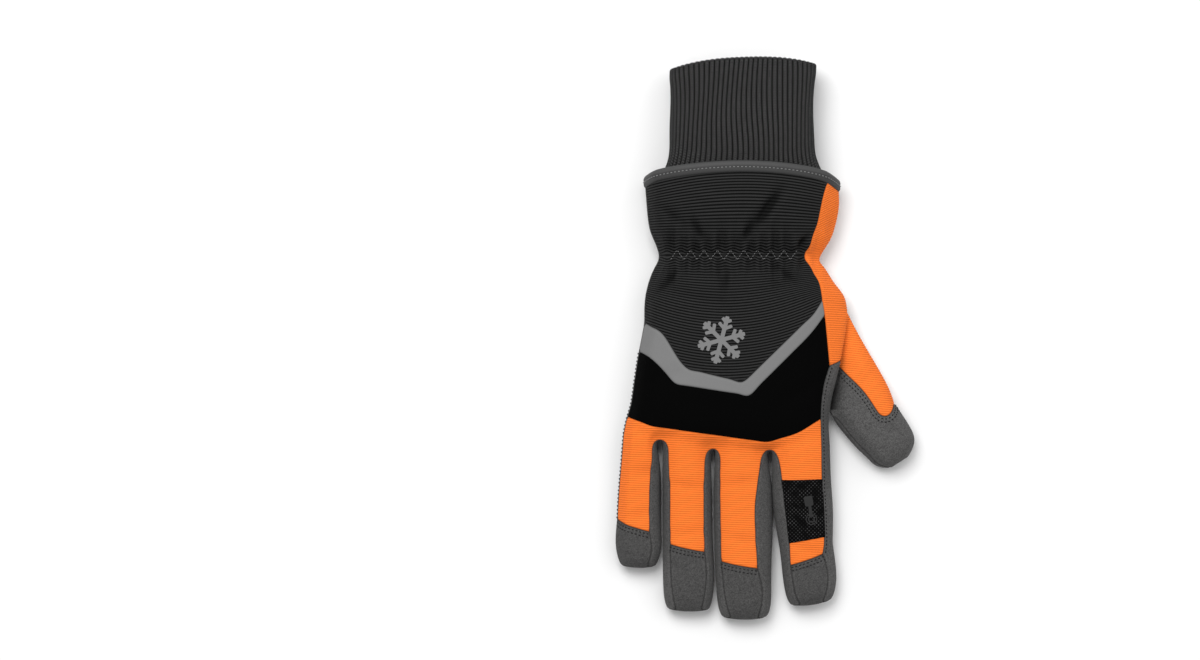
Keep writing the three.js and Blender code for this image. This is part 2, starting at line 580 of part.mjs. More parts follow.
// The rim's inner side at a given angle, seen along the wrist.
const RIM_CENTRE = vec(CUFF_CENTRE_X, 0, 21);
const rimInner = rim.map((index, order) => {
  const point = points[index].clone().addScaledVector(rimOut[order], -(3.3 + RIB_DEPTH + 0.45));
  return { x: point.x - RIM_CENTRE.x, z: point.z - RIM_CENTRE.z };
});
function rimAt(angle) {
  const ray = { x: Math.cos(angle), z: Math.sin(angle) };
  let reach = 0;
  rimInner.forEach((from, index) => {
    const to = rimInner[(index + 1) % rimInner.length];
    const edge = { x: to.x - from.x, z: to.z - from.z };
    const cross = ray.x * edge.z - ray.z * edge.x;
    if (Math.abs(cross) < 1e-9) return;
    const along = (from.x * edge.z - from.z * edge.x) / cross;
    const share = (from.x * ray.z - from.z * ray.x) / cross;
    if (along > 0 && share >= -1e-6 && share <= 1 + 1e-6) reach = Math.max(reach, along);
  });
  return reach;
}

// One cross line of the cuff, with a share of the ribs' depth and an offset of the wall.
function cuffLine(row, sides, ribDepth, inset) {
  const line = [];
  const centreZ = (row.low + row.high) / 2;
  const halfHeight = (row.high - row.low) / 2;
  for (let step = 0; step < sides; step += 1) {
    const turn = (2 * Math.PI * step) / sides;
    const across = Math.sign(Math.cos(turn)) * Math.abs(Math.cos(turn)) ** 0.72;
    const up = Math.sign(Math.sin(turn)) * Math.abs(Math.sin(turn)) ** 0.62;
    const free = vec(row.halfWidth * across, 0, halfHeight * up);
    const angle = Math.atan2(free.z + centreZ - RIM_CENTRE.z, free.x);
    const reach = rimAt(angle);
    const held = vec(reach * Math.cos(angle), 0, reach * Math.sin(angle));
    held.z += RIM_CENTRE.z - centreZ;
    const point = held.lerp(free, row.free);
    const outward = vec(across / row.halfWidth, 0, up / halfHeight).normalize();
    const rib = step % 2 ? -ribDepth : 0;
    point.addScaledVector(outward, rib - inset);
    const crown = 1 - Math.min(1, Math.abs(point.x) / row.halfWidth) ** CUFF_DOME;
    const y = lerp(row.side, up > 0 ? row.back : row.palm, crown);
    line.push(vec(point.x + CUFF_CENTRE_X, y, point.z + centreZ));
  }
  return line;
}

function cuffGeometry() {
  const positions = [];
  const face = (...corners) => corners.forEach((point) => {
    positions.push(point.x, point.y, point.z);
  });
  const outer = CUFF.map((row) => cuffLine(row, 2 * RIB_COUNT, RIB_DEPTH, 0));
  const inner = CUFF.map((row) => cuffLine(row, CUFF_INNER_SIDES, 0, KNIT_WALL + RIB_DEPTH));
  const band = (lines, flip) => {
    const size = lines[0].length;
    for (let row = 0; row < lines.length - 1; row += 1) {
      for (let step = 0; step < size; step += 1) {
        const after = (step + 1) % size;
        const [a, b] = [lines[row][step], lines[row][after]];
        const [c, d] = [lines[row + 1][after], lines[row + 1][step]];
        if (flip) face(a, b, c, a, c, d);
        else face(a, c, b, a, d, c);
      }
    }
  };
  band(outer, false);
  band(inner, true);
  const many = (2 * RIB_COUNT) / CUFF_INNER_SIDES;
  const mouth = (outside, inside, flip) => {
    for (let side = 0; side < CUFF_INNER_SIDES; side += 1) {
      const after = (side + 1) % CUFF_INNER_SIDES;
      const corners = [];
      for (let step = 0; step <= many; step += 1) {
        corners.push(outside[(side * many + step) % outside.length]);
      }
      const half = many / 2;
      for (let step = 0; step < many; step += 1) {
        const hub = step < half ? inside[side] : inside[after];
        if (flip) face(corners[step + 1], corners[step], hub);
        else face(corners[step], corners[step + 1], hub);
      }
      if (flip) face(corners[half], inside[side], inside[after]);
      else face(inside[side], corners[half], inside[after]);
    }
  };
  mouth(outer[0], inner[0], false);
  mouth(outer[outer.length - 1], inner[inner.length - 1], true);
  const geometry = new THREE.BufferGeometry();
  geometry.setAttribute('position', new THREE.Float32BufferAttribute(positions, 3));
  return mergeVertices(geometry, 1e-4);
}
addMesh('knit_cuff', cuffGeometry(), COLOURS.knit);

// A flat outline with round corners, given its corner points in order.
function roundedShape(corners, radius) {
  const shape = new THREE.Shape();
  const at = (index) => new THREE.Vector2(...corners[(index + corners.length) % corners.length]);
  corners.forEach((_, index) => {
    const [before, corner, after] = [at(index - 1), at(index), at(index + 1)];
    const reach = Math.min(radius, 0.4 * before.distanceTo(corner), 0.4 * after.distanceTo(corner));
    const start = corner.clone().add(before.sub(corner).setLength(reach));
    const end = corner.clone().add(after.sub(corner).setLength(reach));
    if (index === 0) shape.moveTo(start.x, start.y);
    else shape.lineTo(start.x, start.y);
    shape.quadraticCurveTo(corner.x, corner.y, end.x, end.y);
  });
  shape.closePath();
  return shape;
}

function plate(shape, thickness, bevel) {
  const geometry = new THREE.ExtrudeGeometry(shape, {
    depth: thickness - 2 * bevel,
    bevelEnabled: true,
    bevelThickness: bevel,
    bevelSize: bevel,
    bevelOffset: -bevel,
    bevelSegments: 1,
    curveSegments: 4,
  });
  geometry.translate(0, 0, bevel);
  geometry.deleteAttribute('normal');
  geometry.deleteAttribute('uv');
  return mergeVertices(geometry, 1e-4);
}

Object.entries(PADS).forEach(([name, { radius, corners }]) => {
  addMesh(name, plate(roundedShape(corners, radius), PAD_THICKNESS, 0.5), COLOURS.suede);
});

// The tab hangs from the rim along the palm side of the cuff, with the label on its face.
function trapezoid({ centreX, topY, topWidth, endWidth, length, radius }) {
  return roundedShape([
    [centreX - topWidth / 2, topY], [centreX - endWidth / 2, topY + length],
    [centreX + endWidth / 2, topY + length], [centreX + topWidth / 2, topY],
  ], radius);
}
addMesh('cuff_tab', plate(trapezoid(TAB), TAB_THICKNESS, 0.4), COLOURS.suede)
  .position.set(0, 0, CUFF_LOWER_Z - SEAM_GAP - TAB_THICKNESS);
addMesh('cuff_label', plate(trapezoid(LABEL), LABEL_THICKNESS, 0.4), COLOURS.label, 0.6)
  .position.set(0, 0, CUFF_LOWER_Z - 2 * SEAM_GAP - TAB_THICKNESS - LABEL_THICKNESS);

export default glove;
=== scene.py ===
# %% [markdown]
# # Winter work glove
# One right-hand glove lies on its palm with its fingers towards -Y, its cuff towards +Y and its
# thumb towards +X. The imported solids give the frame. Every sewn piece is made again here as soft
# cloth, suede or knit in the same place. Tables are in millimetres, because a glove's pattern is
# drawn in them, and the meshes are in metres.

import bisect
import json
import math
from collections import defaultdict, namedtuple

import bpy
import numpy as np
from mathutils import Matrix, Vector, geometry, kdtree
from mathutils.bvhtree import BVHTree

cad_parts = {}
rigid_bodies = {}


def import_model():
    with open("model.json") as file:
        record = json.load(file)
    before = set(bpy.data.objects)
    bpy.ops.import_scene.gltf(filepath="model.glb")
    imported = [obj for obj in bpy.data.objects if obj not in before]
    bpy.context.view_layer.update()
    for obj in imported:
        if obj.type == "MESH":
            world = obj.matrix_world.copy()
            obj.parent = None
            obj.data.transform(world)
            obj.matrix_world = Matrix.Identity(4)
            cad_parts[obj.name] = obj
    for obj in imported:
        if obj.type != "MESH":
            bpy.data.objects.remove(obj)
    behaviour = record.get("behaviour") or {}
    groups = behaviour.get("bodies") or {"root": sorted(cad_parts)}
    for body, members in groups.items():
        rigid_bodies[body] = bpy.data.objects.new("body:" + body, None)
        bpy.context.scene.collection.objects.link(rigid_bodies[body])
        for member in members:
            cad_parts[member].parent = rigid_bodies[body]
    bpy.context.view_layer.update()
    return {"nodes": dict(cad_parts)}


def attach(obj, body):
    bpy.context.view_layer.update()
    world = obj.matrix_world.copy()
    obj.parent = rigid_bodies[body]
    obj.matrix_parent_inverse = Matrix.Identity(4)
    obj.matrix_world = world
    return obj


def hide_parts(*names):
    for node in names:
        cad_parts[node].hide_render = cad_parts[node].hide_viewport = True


for leftover in list(bpy.data.objects):
    bpy.data.objects.remove(leftover)
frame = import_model()
MM = 0.001
print("solids in the frame:", len(frame["nodes"]))


def table(columns, rows):
    """Rows of numbers as records with named columns."""
    record = namedtuple("record", columns)
    return [record(*row) for row in rows]


def lerp(a, b, share):
    """The value a share of the way from a to b."""
    return a + (b - a) * share


def smooth_step(low, high, value):
    """0 below low, 1 above high, and a smooth rise between them."""
    share = np.clip((value - low) / (high - low), 0, 1)
    return share * share * (3 - 2 * share)


def dome(share, power=2.6):
    """Height of a domed cross section: 0 at the outline, 1 in the middle."""
    return max(0.0, 1 - min(1.0, abs(share)) ** power) ** (1 / power)


def bell(offset, width):
    """1 where the offset is 0, and close to 0 from two widths on."""
    return np.exp(-((offset / width) ** 2))


def signed_power(value, power):
    """A power that keeps the value's sign; it squares off the sine and cosine of a circle."""
    return np.sign(value) * np.abs(value) ** power


# %% [markdown]
# ## The skin of the glove
# The whole shell is first laid out as one net of four-sided cells, and each cell belongs to one
# panel of cloth or suede. A pattern maker does the same on a stuffed hand form: the seams are
# drawn on it first, and the panels are cut along them. One common net keeps neighbouring panels
# exactly together along each seam, which separate surfaces wouldn't.

# %% Cross lines of the hand
PALM_LIFT = 2.12
EDGE_INSET = 4.5
STEPS = 4
HAND = table(
    "left_x left_y side_x side_y seam_x back palm height upper lower corner fingers",
    [
        (-67.0, 83.6, 40.5, 81.6, 34.3, 91.9, 74.5, 42, 17, 17, 14.3, 0),
        (-66.2, 73, 40.6, 72.5, 31.4, 80.3, 65, 42, 17, 17, 14.3, 0),
        (-64.8, 61.5, 38.2, 62, 29.0, 66, 57, 39, 16, 16, 14.5, 0),
        (-62.0, 54, 35.4, 53.5, 25.6, 54.5, 53, 35.5, 15, 15, 14.8, 0),
        (-59.4, 45.6, 30.0, 44.4, 22.3, 46.2, 49, 31, 13, 13, 18.2, 0),
        (-61.8, 39.5, 33.2, 39.5, 25.3, 40.5, 42, 33.5, 13, 13, 25.5, 0),
        (-65.2, 31.0, 37.8, 31.5, 29.0, 30, 31, 35.5, 13, 13, 32.5, 0),
        (-67.4, 20.0, 44.6, 23.5, 30.6, 11, 20, 36.5, 13, 13, 39.0, 0),
        (-67.5, 8.4, 46.2, 15.0, 31.5, 0, 8, 37, 12.5, 12.5, 42.6, 0.05),
        (-70.7, -7.7, 46.4, 7.0, 32.9, 0, 0, 37, 18, 8, 39.5, 0.1),
        (-72.0, -16.0, 44.2, -2.5, 34.2, 0, -10, 36.5, 20.5, 5, 37.5, 0.15),
        (-73.4, -25.4, 41.7, -12.5, 35.7, 0, -20, 36, 21.5, 4.2, 35.5, 0.2),
        (-74.3, -32.0, 39.0, -24.0, 32.6, 0, -29, 35.5, 20, 4.2, 33.5, 0.3),
        (-75.4, -38.0, 36.9, -33.5, 31.2, 0, -38, 34.5, 17, 5.5, 32.0, 0.4),
        (-77.2, -43.8, 35.6, -42.5, 31.0, 0, -46, 33, 11.5, 11.5, 31.0, 0.55),
        (-78.9, -51.5, 35.6, -53.5, 31.2, 0, -54, 30.5, 12.5, 12.5, 31.0, 0.8),
    ],
)
STRIP_TOP_ROW = 8
STRIP_BOTTOM_ROW = 9
GUSSET_END_ROW = 11
BAND_BOTTOM_ROW = 14
HOLE_ROWS = range(8, 15)

# Plan curves of the seams across the back, left to right.
STRIP_TOP = [(-67.5, 8.4), (-57.5, 2.5), (-45.5, -16.6), (-12.7, -24.6), (26.5, 13.5),
             (31.5, 21.3)]
STRIP_BOTTOM = [(-70.7, -7.7), (-63.5, -11.5), (-50.5, -25.6), (-9.5, -32), (25.4, 2.6),
                (32.9, 12.9)]
BAND_BOTTOM = [(-77.2, -43.8), (-63, -49.4), (-30, -54), (0.7, -58.2), (17.2, -53.3), (31, -45)]
BAND_STEPS = {10: 0.23, 11: 0.49, 12: 0.675, 13: 0.845}
WRIST_STEPS = {5: 0.2, 6: 0.45, 7: 0.72}
ELASTIC_Y = 46.2

# %% [markdown]
# A finger is a flat tube with a seam along each side of its back. Each cross line needs the two
# ends of the outline, the two seams, the height and how far it lies off the floor. The thumb is
# drawn the same way, from its outer edge to its inner edge. Eight lines a finger are enough,
# because the skin is rounded later.

# %% Cross lines of the fingers and the thumb
FINGER_COLUMNS = "left_x left_y right_x right_y seam_left seam_right height lift"
FINGERS = [
    table(FINGER_COLUMNS, rows)
    for rows in (
        [
            (-79.6, -57.5, -60.4, -58.3, -75.1, -62.0, 24.5, PALM_LIFT),
            (-80.4, -68.0, -59.0, -69.0, -76.2, -62.8, 23, 1.1),
            (-81.4, -79.5, -58.4, -81.0, -77.2, -64.2, 21.5, 0.3),
            (-82.2, -90.5, -58.4, -94.0, -78.0, -64.4, 20.5, 0),
            (-82.7, -101.3, -58.3, -108.3, -78.4, -64.4, 20, 0),
            (-83.6, -113.0, -58.2, -117.5, -79.2, -63.2, 19.5, 0.2),
            (-82.4, -122.0, -60.2, -124.6, -77.6, -64.4, 17.5, 1),
            (-80.4, -126.8, -62.0, -127.6, -76.6, -65.2, 13.5, 3.2),
        ],
        [
            (-57.3, -58.4, -30.6, -63.7, -55.2, -32.2, 25.5, PALM_LIFT),
            (-57.3, -70.0, -30.2, -74.5, -54.6, -33.6, 24, 1.1),
            (-57.1, -83.0, -29.9, -87.0, -53.6, -34.0, 22.5, 0.3),
            (-57.1, -98.0, -29.7, -102.0, -53.6, -34.0, 21.5, 0),
            (-57.0, -113.1, -29.3, -118.9, -53.4, -33.6, 21, 0),
            (-56.9, -130.0, -28.6, -133.5, -53.0, -32.6, 20, 0.2),
            (-56.2, -145.0, -29.8, -146.5, -51.6, -34.2, 18, 1),
            (-54.0, -151.4, -31.6, -151.8, -50.2, -35.2, 13.5, 3.2),
        ],
        [
            (-28.0, -63.8, 1.2, -64.4, -26.2, -1.2, 26, PALM_LIFT),
            (-28.6, -76.0, 2.8, -77.0, -25.9, -3.4, 24.5, 1.1),
            (-28.6, -91.0, 3.8, -92.0, -25.6, -5.6, 23, 0.3),
            (-28.4, -107.0, 3.7, -108.5, -25.4, -5.4, 22, 0),
            (-28.0, -123.0, 3.1, -128.3, -25.0, -4.2, 21.5, 0),
            (-27.2, -138.5, 3.2, -141.5, -23.6, -1.4, 20.5, 0.2),
            (-25.8, -150.5, 2.4, -152.0, -21.4, -2.6, 18.5, 1),
            (-23.4, -156.0, -0.4, -156.3, -19.6, -3.8, 13.5, 3.2),
        ],
        [
            (3.6, -64.5, 35.9, -62.5, 5.8, 31.4, 27, PALM_LIFT),
            (3.9, -79.3, 36.4, -78.6, 8.6, 31.6, 25, 1.1),
            (5.0, -97.0, 37.6, -94.5, 11.0, 32.4, 23.5, 0.3),
            (8.0, -115.3, 37.6, -110.0, 12.9, 33.0, 22, 0),
            (9.4, -127.0, 37.9, -116.9, 13.5, 32.4, 21.5, 0),
            (10.6, -137.0, 39.6, -131.0, 15.0, 35.0, 20.5, 0.2),
            (12.6, -145.6, 38.6, -141.4, 17.0, 34.0, 18.5, 1),
            (15.4, -149.4, 36.2, -146.6, 19.2, 32.4, 13.5, 3.2),
        ],
    )
]
PINKY, INDEX = 0, 3
CAP_ROW = 4
CAP_BOW = 1.5
PATCH_ROWS = range(1, 3)

THUMB = table(
    "outer_x outer_y inner_x inner_y seam height",
    [
        (53.6, 0.4, 38.6, -46.6, 0.47, 19.3),
        (62.0, -14.6, 43.0, -51.6, 0.4, 21.5),
        (69.4, -28.0, 47.4, -56.8, 0.38, 22.5),
        (74.6, -38.4, 52.4, -62.2, 0.37, 22),
        (81.2, -49.6, 57.6, -67.0, 0.4, 21),
        (83.7, -58.2, 62.4, -71.4, 0.42, 18),
        (80.6, -65.6, 69.4, -72.6, 0.45, 12),
    ],
)
THUMB_CELLS = len(HOLE_ROWS) - 1
THUMB_SEAM_LINE = 3
THUMB_CAP_RING = 5
# Plan of the rounded end of the cloth on the thumb's back, from the outline to the seam.
THUMB_CAP_CURVE = [(72.3, -35.8), (70.8, -40.2), (67.6, -43.4), (64.0, -42.6)]
print("cross lines:", len(HAND), "of the hand,", [len(rows) for rows in FINGERS],
      "of the fingers,", len(THUMB), "of the thumb")

# %% [markdown]
# The tables become points. All cross lines have the same number of points in the same order, so
# neighbouring lines can be joined into four-sided cells, which round off evenly.

# %% Points of the net
SIDE_HIGH, SIDE_LOW = 0.58, 0.22
SIDE_SLANT = 0.8
PALM_INSET = 3.6
HAND_SIDE = 0.42
points, cells = [], []


def add_point(x, y, z):
    points.append((x, y, z))
    return len(points) - 1


def add_cell(panel, *corners):
    cells.append((panel, tuple(dict.fromkeys(corners))))


def curve_y(curve, x):
    """Y of a plan curve at a given X."""
    return float(np.interp(x, [p[0] for p in curve], [p[1] for p in curve]))

# %% Rings of the fingers
def finger_ring(row, bow):
    """A finger's cross line: over the back, down the right side, along the palm and up the left."""

    def y_at(x, bow=0.0):
        share = (x - row.left_x) / (row.right_x - row.left_x)
        return lerp(row.left_y, row.right_y, share) - bow * dome(2 * share - 1, 2)

    depth = row.height - row.lift
    middle = row.lift + 0.5 * depth
    ring = []
    for step in range(STEPS + 1):
        x = lerp(row.seam_left, row.seam_right, step / STEPS)
        share = 2 * (x - row.left_x) / (row.right_x - row.left_x) - 1
        ring.append((x, y_at(x, bow), lerp(middle, row.height, dome(share))))
    upper, lower = row.lift + SIDE_HIGH * depth, row.lift + SIDE_LOW * depth
    ring += [(row.right_x, row.right_y, upper), (row.right_x - SIDE_SLANT, row.right_y, lower)]
    for step in range(STEPS + 1):
        x = lerp(row.right_x - PALM_INSET, row.left_x + PALM_INSET, step / STEPS)
        ring.append((x, y_at(x), row.lift))
    ring += [(row.left_x + SIDE_SLANT, row.left_y, lower), (row.left_x, row.left_y, upper)]
    return [add_point(*point) for point in ring]


RIGHT = STEPS + 1
BOTTOM = RIGHT + 2
LEFT = BOTTOM + STEPS + 1
RING_SIZE = LEFT + 2
finger_rings = [[finger_ring(row, CAP_BOW if number == CAP_ROW else 0.0)
                 for number, row in enumerate(rows)] for rows in FINGERS]
print("finger rings:", sum(map(len, finger_rings)), "of", RING_SIZE, "points")

# %% Lines across the hand
root_top = [i for rings in finger_rings for i in rings[0][:RIGHT]]
root_bottom = [i for rings in reversed(finger_rings) for i in rings[0][BOTTOM:LEFT]]
COLUMNS = len(root_top)


def share_of(line, column):
    """Where a column lies between the first and the last point of the finger roots."""
    first, last = points[line[0]][0], points[line[-1]][0]
    return (points[line[column]][0] - first) / (last - first)


def back_y(index, x, share):
    """Y of one of the hand's cross lines on the back."""
    row = HAND[index]
    if index == STRIP_TOP_ROW:
        return curve_y(STRIP_TOP, x)
    if index == STRIP_BOTTOM_ROW:
        return curve_y(STRIP_BOTTOM, x)
    if index == BAND_BOTTOM_ROW:
        return curve_y(BAND_BOTTOM, x)
    if index in BAND_STEPS:
        return lerp(curve_y(STRIP_BOTTOM, x), curve_y(BAND_BOTTOM, x), BAND_STEPS[index])
    if index in WRIST_STEPS:
        return lerp(ELASTIC_Y, curve_y(STRIP_TOP, x), WRIST_STEPS[index])
    across = (x - row.left_x) / (row.side_x - row.left_x)
    return lerp(lerp(row.left_y, row.side_y, across), row.back, dome(2 * across - 1, 1.8))


HandLine = namedtuple("HandLine", "top bottom upper lower below left_low left_high")


def hand_line(index):
    """One cross line of the hand: back, palm and the points of both sides."""
    row = HAND[index]
    centre, half = (row.left_x + row.side_x) / 2, (row.side_x - row.left_x) / 2
    middle = PALM_LIFT + HAND_SIDE * (row.height - PALM_LIFT)
    top, bottom = [], []
    for column in range(COLUMNS):
        even = column / (COLUMNS - 1)
        share = lerp(even, share_of(root_top, column), row.fingers)
        x = lerp(row.left_x + EDGE_INSET, row.seam_x, share)
        root = points[root_top[column]]
        z = lerp(middle, row.height, dome((x - centre) / half))
        y = back_y(index, x, share)
        if index > BAND_BOTTOM_ROW:
            y = lerp(curve_y(BAND_BOTTOM, x), root[1], 0.5)
        top.append(add_point(x, y, lerp(z, root[2], row.fingers**2)))
        share = lerp(even, share_of(root_bottom, column), row.fingers)
        x = lerp(row.corner, row.left_x + EDGE_INSET, share)
        y = lerp(lerp(row.side_y, row.left_y, share), row.palm, dome(2 * share - 1, 2))
        if index > BAND_BOTTOM_ROW:
            y = lerp(y, points[root_bottom[column]][1], 0.3)
        bottom.append(add_point(x, y, PALM_LIFT))
    hole = index in HOLE_ROWS[1:-1]
    lip = 0.4 if hole else 0
    upper = add_point(row.side_x + lip, row.side_y, row.upper + (0 if hole else 2))
    lower = add_point(row.side_x - 0.6, row.side_y, row.lower) if hole else upper
    inward = 0.5 if hole else min(0.35, 3 / (row.side_x - row.corner))
    below_z = PALM_LIFT + 0.3 if hole else lerp(PALM_LIFT, row.lower, 0.35)
    below = add_point(lerp(row.side_x, row.corner, inward), row.side_y, below_z)
    left_low = add_point(row.left_x + 0.9, row.left_y, PALM_LIFT + 0.14 * row.height)
    left_high = add_point(row.left_x, row.left_y, middle)
    return HandLine(top, bottom, upper, lower, below, left_low, left_high)


hand_lines = [hand_line(index) for index in range(len(HAND))]
pinky_root, index_root = finger_rings[PINKY][0], finger_rings[INDEX][0]
hand_lines.append(
    HandLine(root_top, root_bottom, index_root[RIGHT], index_root[RIGHT], index_root[RIGHT + 1],
             pinky_root[LEFT], pinky_root[LEFT + 1])
)
print("hand lines:", len(hand_lines), "with", COLUMNS, "points over the back")

# %% [markdown]
# Each cell gets the name of its panel. Where two panels meet on a line of the net, the real glove
# has a seam, so a seam is moved by giving a row of cells another name.

# %% Cells of the hand
def back_name(row):
    """Panel on the back below a cross line of the hand."""
    if row < STRIP_TOP_ROW:
        return "back_panel"
    if row < STRIP_BOTTOM_ROW:
        return "reflective_strip"
    return "knuckle_band" if row < BAND_BOTTOM_ROW else "finger_back"


for row, (here, after) in enumerate(zip(hand_lines, hand_lines[1:])):
    back = back_name(row)
    add_cell(back, here.left_high, after.left_high, after.top[0], here.top[0])
    for side, panel in ((here.top, back), (here.bottom, "palm_panel")):
        other = after.top if side is here.top else after.bottom
        for column in range(COLUMNS - 1):
            add_cell(panel, side[column], other[column], other[column + 1], side[column + 1])
    upper_side = "thumb_gusset" if row < GUSSET_END_ROW else "palm_panel"
    lower_side = "thumb_gusset" if row < HOLE_ROWS[0] else "palm_panel"
    add_cell(upper_side, here.top[-1], after.top[-1], after.upper, here.upper)
    add_cell(lower_side, here.lower, after.lower, after.below, here.below)
    add_cell(lower_side, here.below, after.below, after.bottom[0], here.bottom[0])
    add_cell("palm_panel", here.bottom[-1], after.bottom[-1], after.left_low, here.left_low)
    add_cell("palm_panel", here.left_low, after.left_low, after.left_high, here.left_high)
print("cells of the hand:", len(cells))

# %% [markdown]
# A finger has a cloth back, a suede cap over its tip, a suede underside, and a wall towards its
# neighbour that turns round between the two roots. Glovers call this wall a fourchette; it gives
# the fingers their depth.

# %% Cells of the fingers
def finger_panel(finger, column, row):
    """Panel of a cell by its column round the finger."""
    cap = f"fingertip_cap_{finger + 1}"
    if column < RIGHT - 1:
        return "finger_back" if row < CAP_ROW else cap
    if column < BOTTOM:
        return "palm_panel" if finger == INDEX else f"fourchette_{finger + 1}"
    if column >= LEFT - 1 and finger > PINKY:
        return f"fourchette_{finger}"
    if column == RING_SIZE - 1:
        return "finger_back" if row < CAP_ROW else cap
    return "palm_panel"


def close_fingertip(finger, ring):
    """The end of a finger, bulged a little and part of the cap."""
    rows = [list(ring[:RIGHT]), [ring[LEFT + 1]], [ring[LEFT]], list(reversed(ring[BOTTOM:LEFT]))]
    for step in range(1, STEPS):
        top, bottom = np.array(points[ring[step]]), np.array(points[ring[BOTTOM + STEPS - step]])
        for row, share in ((rows[1], 0.36), (rows[2], 0.72)):
            row.append(add_point(*(lerp(top, bottom, share) + (0, -1.0, 0))))
    rows[1].append(ring[RIGHT])
    rows[2].append(ring[RIGHT + 1])
    for upper, lower in zip(rows, rows[1:]):
        for step in range(STEPS):
            add_cell(f"fingertip_cap_{finger + 1}", upper[step], lower[step], lower[step + 1],
                     upper[step + 1])


touch_cells = set()
for finger, rings in enumerate(finger_rings):
    for row, (here, after) in enumerate(zip(rings, rings[1:])):
        for column in range(RING_SIZE):
            other = (column + 1) % RING_SIZE
            if finger == INDEX and row in PATCH_ROWS and column < RIGHT - 1:
                touch_cells.add(len(cells))
            add_cell(finger_panel(finger, column, row), here[column], after[column],
                     after[other], here[other])
    close_fingertip(finger, rings[-1])

# The fourchette between two fingers turns round their root.
for finger in range(INDEX):
    left, right = finger_rings[finger][0], finger_rings[finger + 1][0]
    left_line = [left[RIGHT - 1], left[RIGHT], left[RIGHT + 1], left[BOTTOM]]
    right_line = [right[0], right[LEFT + 1], right[LEFT], right[LEFT - 1]]
    for step in range(3):
        add_cell(f"fourchette_{finger + 1}", left_line[step], left_line[step + 1],
                 right_line[step + 1], right_line[step])
print("cells with the fingers:", len(cells))

# %% [markdown]
# The thumb is set into a hole in the side of the hand. The hand's edge stands over the thumb's
# back as a fold, so the thumb starts with a tucked line behind that edge.

# %% Rings of the thumb
THUMB_SIZE = 2 * THUMB_CELLS
HOLE_CORNER = range(6, 9)
TUCK = Vector((-5.0, 0.4, -7.0))


def thumb_ring(number):
    """A thumb's cross line: outer end, underside, inner end, back."""
    row = THUMB[number]
    middle = 0.5 * row.height

    def at(share, z):
        return (lerp(row.outer_x, row.inner_x, share), lerp(row.outer_y, row.inner_y, share), z)

    under, over = [], []
    for step in range(1, THUMB_CELLS):
        if step <= THUMB_SEAM_LINE:
            share = row.seam * step / THUMB_SEAM_LINE
        else:
            past = (step - THUMB_SEAM_LINE) / (THUMB_CELLS - THUMB_SEAM_LINE)
            share = lerp(row.seam, 1, past)
        across = lerp(0.1, 0.9, (step - 1) / (THUMB_CELLS - 2))
        if step == THUMB_CELLS - 1:
            under.append(at(1.0, 0.32 * row.height))
        else:
            under.append(at(across, 1.2 if step == 1 else 0))
        over.append(at(share, lerp(middle, row.height, dome(2 * share - 1, 2.4))))
    ring = [at(0, middle), *under, at(0.955, 0.68 * row.height), *reversed(over)]
    if number == THUMB_CAP_RING - 2:
        for column, plan in enumerate(THUMB_CAP_CURVE):
            ring[-column] = (*plan, ring[-column][2])
    return [add_point(*point) for point in ring]


hole_lines = [hand_lines[index] for index in HOLE_ROWS]
hole = [line.lower for line in hole_lines] + [line.upper for line in reversed(hole_lines[1:-1])]
first_rings = [thumb_ring(number) for number in range(len(THUMB))]


def tuck_ring():
    """The line behind the hand's edge: tucked under it on the back, a short step on elsewhere."""
    ring = []
    for column, index in enumerate(hole):
        start, end = Vector(points[index]), Vector(points[first_rings[0][column]])
        under_edge = column > THUMB_CELLS
        ring.append(add_point(*(start + TUCK if under_edge else start.lerp(end, 0.3))))
    return ring


# %% Cells of the thumb
def thumb_panel(column, ring):
    """Panel of a cell by its column round the thumb; the hole's corner belongs to the palm."""
    if ring == 0 and column in HOLE_CORNER:
        return "palm_panel"
    if column == 0:
        return "thumb_gusset" if ring < THUMB_CAP_RING else "palm_panel"
    if column < THUMB_CELLS:
        return "palm_panel"
    from_outer = THUMB_SIZE - 1 - column
    on_gusset = from_outer < THUMB_SEAM_LINE and ring < THUMB_CAP_RING
    return "thumb_gusset" if on_gusset else "thumb_cap"


thumb_rings = [hole, tuck_ring(), *first_rings]
for ring, (here, after) in enumerate(zip(thumb_rings, thumb_rings[1:])):
    for column in range(THUMB_SIZE):
        other = (column + 1) % THUMB_SIZE
        add_cell(thumb_panel(column, ring), here[column], after[column], after[other],
                 here[other])
tip = thumb_rings[-1]
for step in range(THUMB_CELLS):
    add_cell("thumb_cap", tip[-step % THUMB_SIZE], tip[-step - 1], tip[step + 1], tip[step])
panel_names = list(dict.fromkeys(panel for panel, _ in cells))
print("net:", len(points), "points,", len(cells), "cells,", len(panel_names), "panels")

# %% [markdown]
# ## From the net to soft cloth
# The net is rounded by subdivision. Its points are moved until the rounded surface passes through
# the places measured for them, so the outline stays true while every panel swells like padded
# cloth.

# %% Rounded skin
FIT_ROUNDS = 3
FIT_SHARE = 0.85
FIT_STEP = 1.2
Skin = namedtuple("Skin", "points faces cells")
panels_at = defaultdict(set)
for panel, corners in cells:
    for a, b in zip(corners, corners[1:] + corners[:1]):
        panels_at[(min(a, b), max(a, b))].add(panel)
seam_lines = {edge for edge, panels in panels_at.items() if len(panels) > 1}


